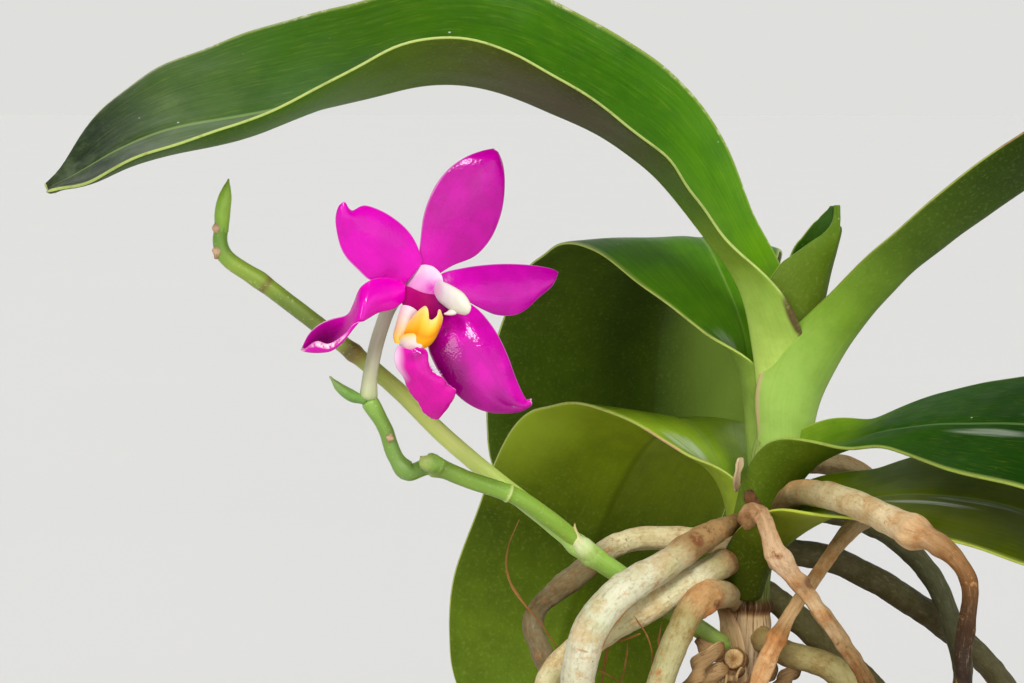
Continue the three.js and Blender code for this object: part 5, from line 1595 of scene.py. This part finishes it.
def turned(rings, sides, **settings):
    """A circle drawn up through (radius, height) rings in mm; it stays in edit mode."""
    bpy.ops.object.select_all(action="DESELECT")
    radius, height = rings[0]
    place = (0, 0, height * MM)
    bpy.ops.mesh.primitive_circle_add(vertices=sides, radius=radius * MM, location=place, **settings)
    piece = bpy.context.object
    bpy.ops.object.mode_set(mode="EDIT")
    bpy.ops.mesh.select_all(action="SELECT")
    for wider, higher in rings[1:]:
        bpy.ops.mesh.extrude_region_move(TRANSFORM_OT_translate={"value": (0, 0, (higher - height) * MM)})
        grow = wider / radius
        bpy.ops.transform.resize(value=(grow, grow, 1), center_override=(0, 0, higher * MM))
        radius, height = wider, higher
    return piece


def make_pot():
    """The pot, drawn up ring by ring from its foot, over the rim and down the inside."""
    pot = turned(POT_RINGS, POT_SIDES)
    pot.name = "pot_dressed"
    bpy.ops.mesh.edge_face_add()
    bpy.ops.mesh.select_all(action="DESELECT")
    bpy.ops.mesh.select_non_manifold()
    bpy.ops.mesh.edge_face_add()
    bpy.ops.mesh.select_all(action="SELECT")
    bpy.ops.mesh.normals_make_consistent(inside=False)
    bpy.ops.object.mode_set(mode="OBJECT")
    bpy.ops.object.select_all(action="DESELECT")
    bpy.ops.mesh.primitive_cylinder_add(vertices=32, radius=DRAIN_RADIUS * MM, depth=DRILL_DEPTH * MM)
    drill = bpy.context.object
    for i in range(DRAINS):
        turn = (0.5 + i) * 2 * math.pi / DRAINS
        drill.location = Vector((math.cos(turn), math.sin(turn), 0)) * DRAIN_RING * MM
        bpy.context.view_layer.update()
        modify(pot, "BOOLEAN", operation="DIFFERENCE", solver="EXACT", object=drill)
    bpy.data.objects.remove(drill)
    alone(pot)
    bpy.ops.object.transform_apply(location=True, rotation=True, scale=True)
    return pot


def clay_finish():
    """Unglazed clay with turning rings, a film of lime towards the rim and damp at the foot."""
    f = Finish("clay", 0.85)
    height = f.parts("Object")[2]
    f.colour = (176, 100, 62)
    f.over(f.between(f.noise(22, 5, 0.6), 0.3, 0.7), (194, 118, 78))
    f.over(f.between(f.noise(2.5, 5, 0.7), 0.5, 0.7, 0, 0.35), (150, 82, 50))
    lime = f.between(f.noise(16, 6, 0.7, seed=3.0), 0.5, 0.68)
    f.over(f.times(lime, f.between(height, 0.07, 0.095, 0.35, 0.75)), (214, 186, 160))
    damp = f.between(f.noise(12, 4, seed=6.0), 0.4, 0.6)
    f.over(f.times(f.between(height, 0.03, 0.0), damp, 0.5), (116, 82, 54))
    rings = f.noise(1, 3, 0.5, f.stretched(2, 2, "Object"))
    turning = f.math("SINE", f.times(f.math("ADD", height, f.times(rings, 0.0006)), 3400.0))
    grit = f.noise(1.2, 5, 0.7)
    return f.finish(None, (turning, 0.12, 0.12), (grit, 0.5, 0.3), (f.noise(0.3, 2), 0.3, 0.08))


pot = make_pot()
paint(pot, clay_finish())
settle(pot, "clay", "pot")
bpy.ops.object.shade_smooth_by_angle(angle=math.radians(50))

BARK_EDGE = 88
BARK_DOME = 5
INNER_TOP = 49.3
BED_FOOT = (33, 7.6)
BED_SIDES = 96
CHIPS = 190
CHIP_MOULDS = 5
CHIP_RING = 41.5
CHIP_LEAN = 0.55


def bark_finish():
    f = Finish("bark", 0.88)
    f.colour = (86, 56, 34)
    f.over(f.between(f.noise(9, 3, seed=1.0), 0.35, 0.65), (138, 94, 58))
    grain = f.noise(1, 5, 0.7, f.stretched(900, 260, "Object"))
    f.over(f.between(grain, 0.35, 0.65, 0, 0.7), (110, 90, 70), "MULTIPLY")
    f.over(f.between(f.noise(4, 5, 0.7, seed=5.0), 0.58, 0.7, 0, 0.6), (170, 128, 84))
    return f.finish(None, (grain, 0.8, 0.6), (f.noise(0.7, 4), 0.6, 0.25))


def bark_height(ring):
    return BARK_EDGE + BARK_DOME * (1 - (ring / INNER_TOP) ** 2)


def chip_mould(draw, seed):
    """A worn block of bark, thinner towards its ends."""
    bpy.ops.object.select_all(action="DESELECT")
    bpy.ops.mesh.primitive_cube_add(size=1)
    mould = bpy.context.object
    bpy.ops.object.mode_set(mode="EDIT")
    bpy.ops.mesh.select_all(action="SELECT")
    bpy.ops.mesh.subdivide(number_cuts=2)
    bpy.ops.object.mode_set(mode="OBJECT")
    co = corners(mould)
    long, wide, thick = draw.uniform(11, 17), draw.uniform(6, 9.5), draw.uniform(3, 4.6)
    ends = np.abs(co[:, 0]) * 2
    points = co * np.array([long, wide, thick])
    points[:, 1] *= 1 - 0.45 * ends**2 * draw.uniform(0.5, 1)
    points[:, 2] *= 1 - 0.3 * ends**2
    points += np.stack([lumps(points, 3.4, seed + k) for k in (1, 2, 3)], -1) * np.array([1.6, 1.3, 0.9])
    shape(mould, points)
    return mould


def make_bark():
    """A packed bed with bark chips lying on it, placed on a spiral from its middle outwards."""
    domed = [(ring, bark_height(ring)) for ring in (41, 30, 18, 6)]
    bed = turned([BED_FOOT, (46.9, BARK_EDGE), *domed, (0.6, bark_height(0))], BED_SIDES, fill_type="NGON")
    bpy.ops.mesh.select_all(action="SELECT")
    bpy.ops.mesh.normals_make_consistent(inside=False)
    bpy.ops.object.mode_set(mode="OBJECT")
    bpy.ops.object.transform_apply(location=True, rotation=True, scale=True)
    draw = random.Random(41)
    moulds = [chip_mould(draw, i) for i in range(CHIP_MOULDS)]
    chips = [bed]
    for i in range(CHIPS):
        mould = moulds[i % CHIP_MOULDS]
        chip = mould.copy()
        chip.data = mould.data.copy()
        bpy.context.collection.objects.link(chip)
        ring = CHIP_RING * math.sqrt((i + 0.5) / CHIPS)
        angle = i * math.pi * (3 - math.sqrt(5))
        tilt = draw.uniform(-CHIP_LEAN, CHIP_LEAN), draw.uniform(-CHIP_LEAN, CHIP_LEAN)
        chip.rotation_euler = (*tilt, draw.uniform(0, 2 * math.pi))
        chip.scale = (draw.uniform(0.65, 1),) * 3
        height = bark_height(ring) + draw.uniform(-1, 2.2)
        chip.location = Vector((ring * math.cos(angle), ring * math.sin(angle), height)) * MM
        chips.append(chip)
    for mould in moulds:
        bpy.data.objects.remove(mould)
    whole = fuse("bark_medium_dressed", chips)
    bpy.ops.object.transform_apply(location=True, rotation=True, scale=True)
    return whole


bark = make_bark()
paint(bark, bark_finish())
settle(bark, "bark", "bark_medium")
bpy.ops.object.shade_smooth_by_angle(angle=math.radians(40))


# Floor and lights

FLOOR_SIZE = 60

bpy.ops.object.select_all(action="DESELECT")
bpy.ops.mesh.primitive_plane_add(size=FLOOR_SIZE, location=(0, 0, 0))
floor = bpy.context.object
floor.name = "floor"
paint(floor, two_tone("floor", 0.7, (400, 2), (225, 224, 221), (228, 227, 224)))


def soft_light(name, place, power, spread, colour=(1, 1, 1)):
    """A distant lamp that shines from a place towards the plant, wider for softer shadows."""
    bpy.ops.object.light_add(type="SUN", location=place)
    lamp = bpy.context.object
    lamp.name = name
    lamp.rotation_euler = (-Vector(place)).to_track_quat("-Z", "Y").to_euler()
    lamp.data.energy = power
    lamp.data.angle = math.radians(spread)
    lamp.data.color = colour


soft_light("key", (-0.5, -0.95, 0.62), 1.0, 25, (1, 0.985, 0.96))
soft_light("high", (0.173, -0.646, 0.743), 1.8, 14)
soft_light("front", (0.1, -1, 0.12), 0.9, 70)
soft_light("fill", (0.9, -0.7, 0.35), 0.3, 40)
soft_light("rim", (-0.5, 0.9, 1.0), 0.3, 30)


def studio_backdrop():
    """An even pale surround at eye level that gets dimmer overhead."""
    world = bpy.data.worlds.new("studio")
    bpy.context.scene.world = world
    world.use_nodes = True
    nodes, links = world.node_tree.nodes, world.node_tree.links
    place = nodes.new("ShaderNodeTexCoord")
    split = nodes.new("ShaderNodeSeparateXYZ")
    links.new(place.outputs["Generated"], split.inputs[0])
    ramp = nodes.new("ShaderNodeValToRGB")
    links.new(split.outputs[2], ramp.inputs["Fac"])
    first, last = ramp.color_ramp.elements
    first.position, first.color = 0.12, srgb(222.4, 222, 219.6)
    last.position, last.color = 0.3, srgb(180, 180, 180)
    top = ramp.color_ramp.elements.new(0.7)
    top.color = srgb(118, 120, 124)
    links.new(ramp.outputs["Color"], nodes["Background"].inputs["Color"])


studio_backdrop()
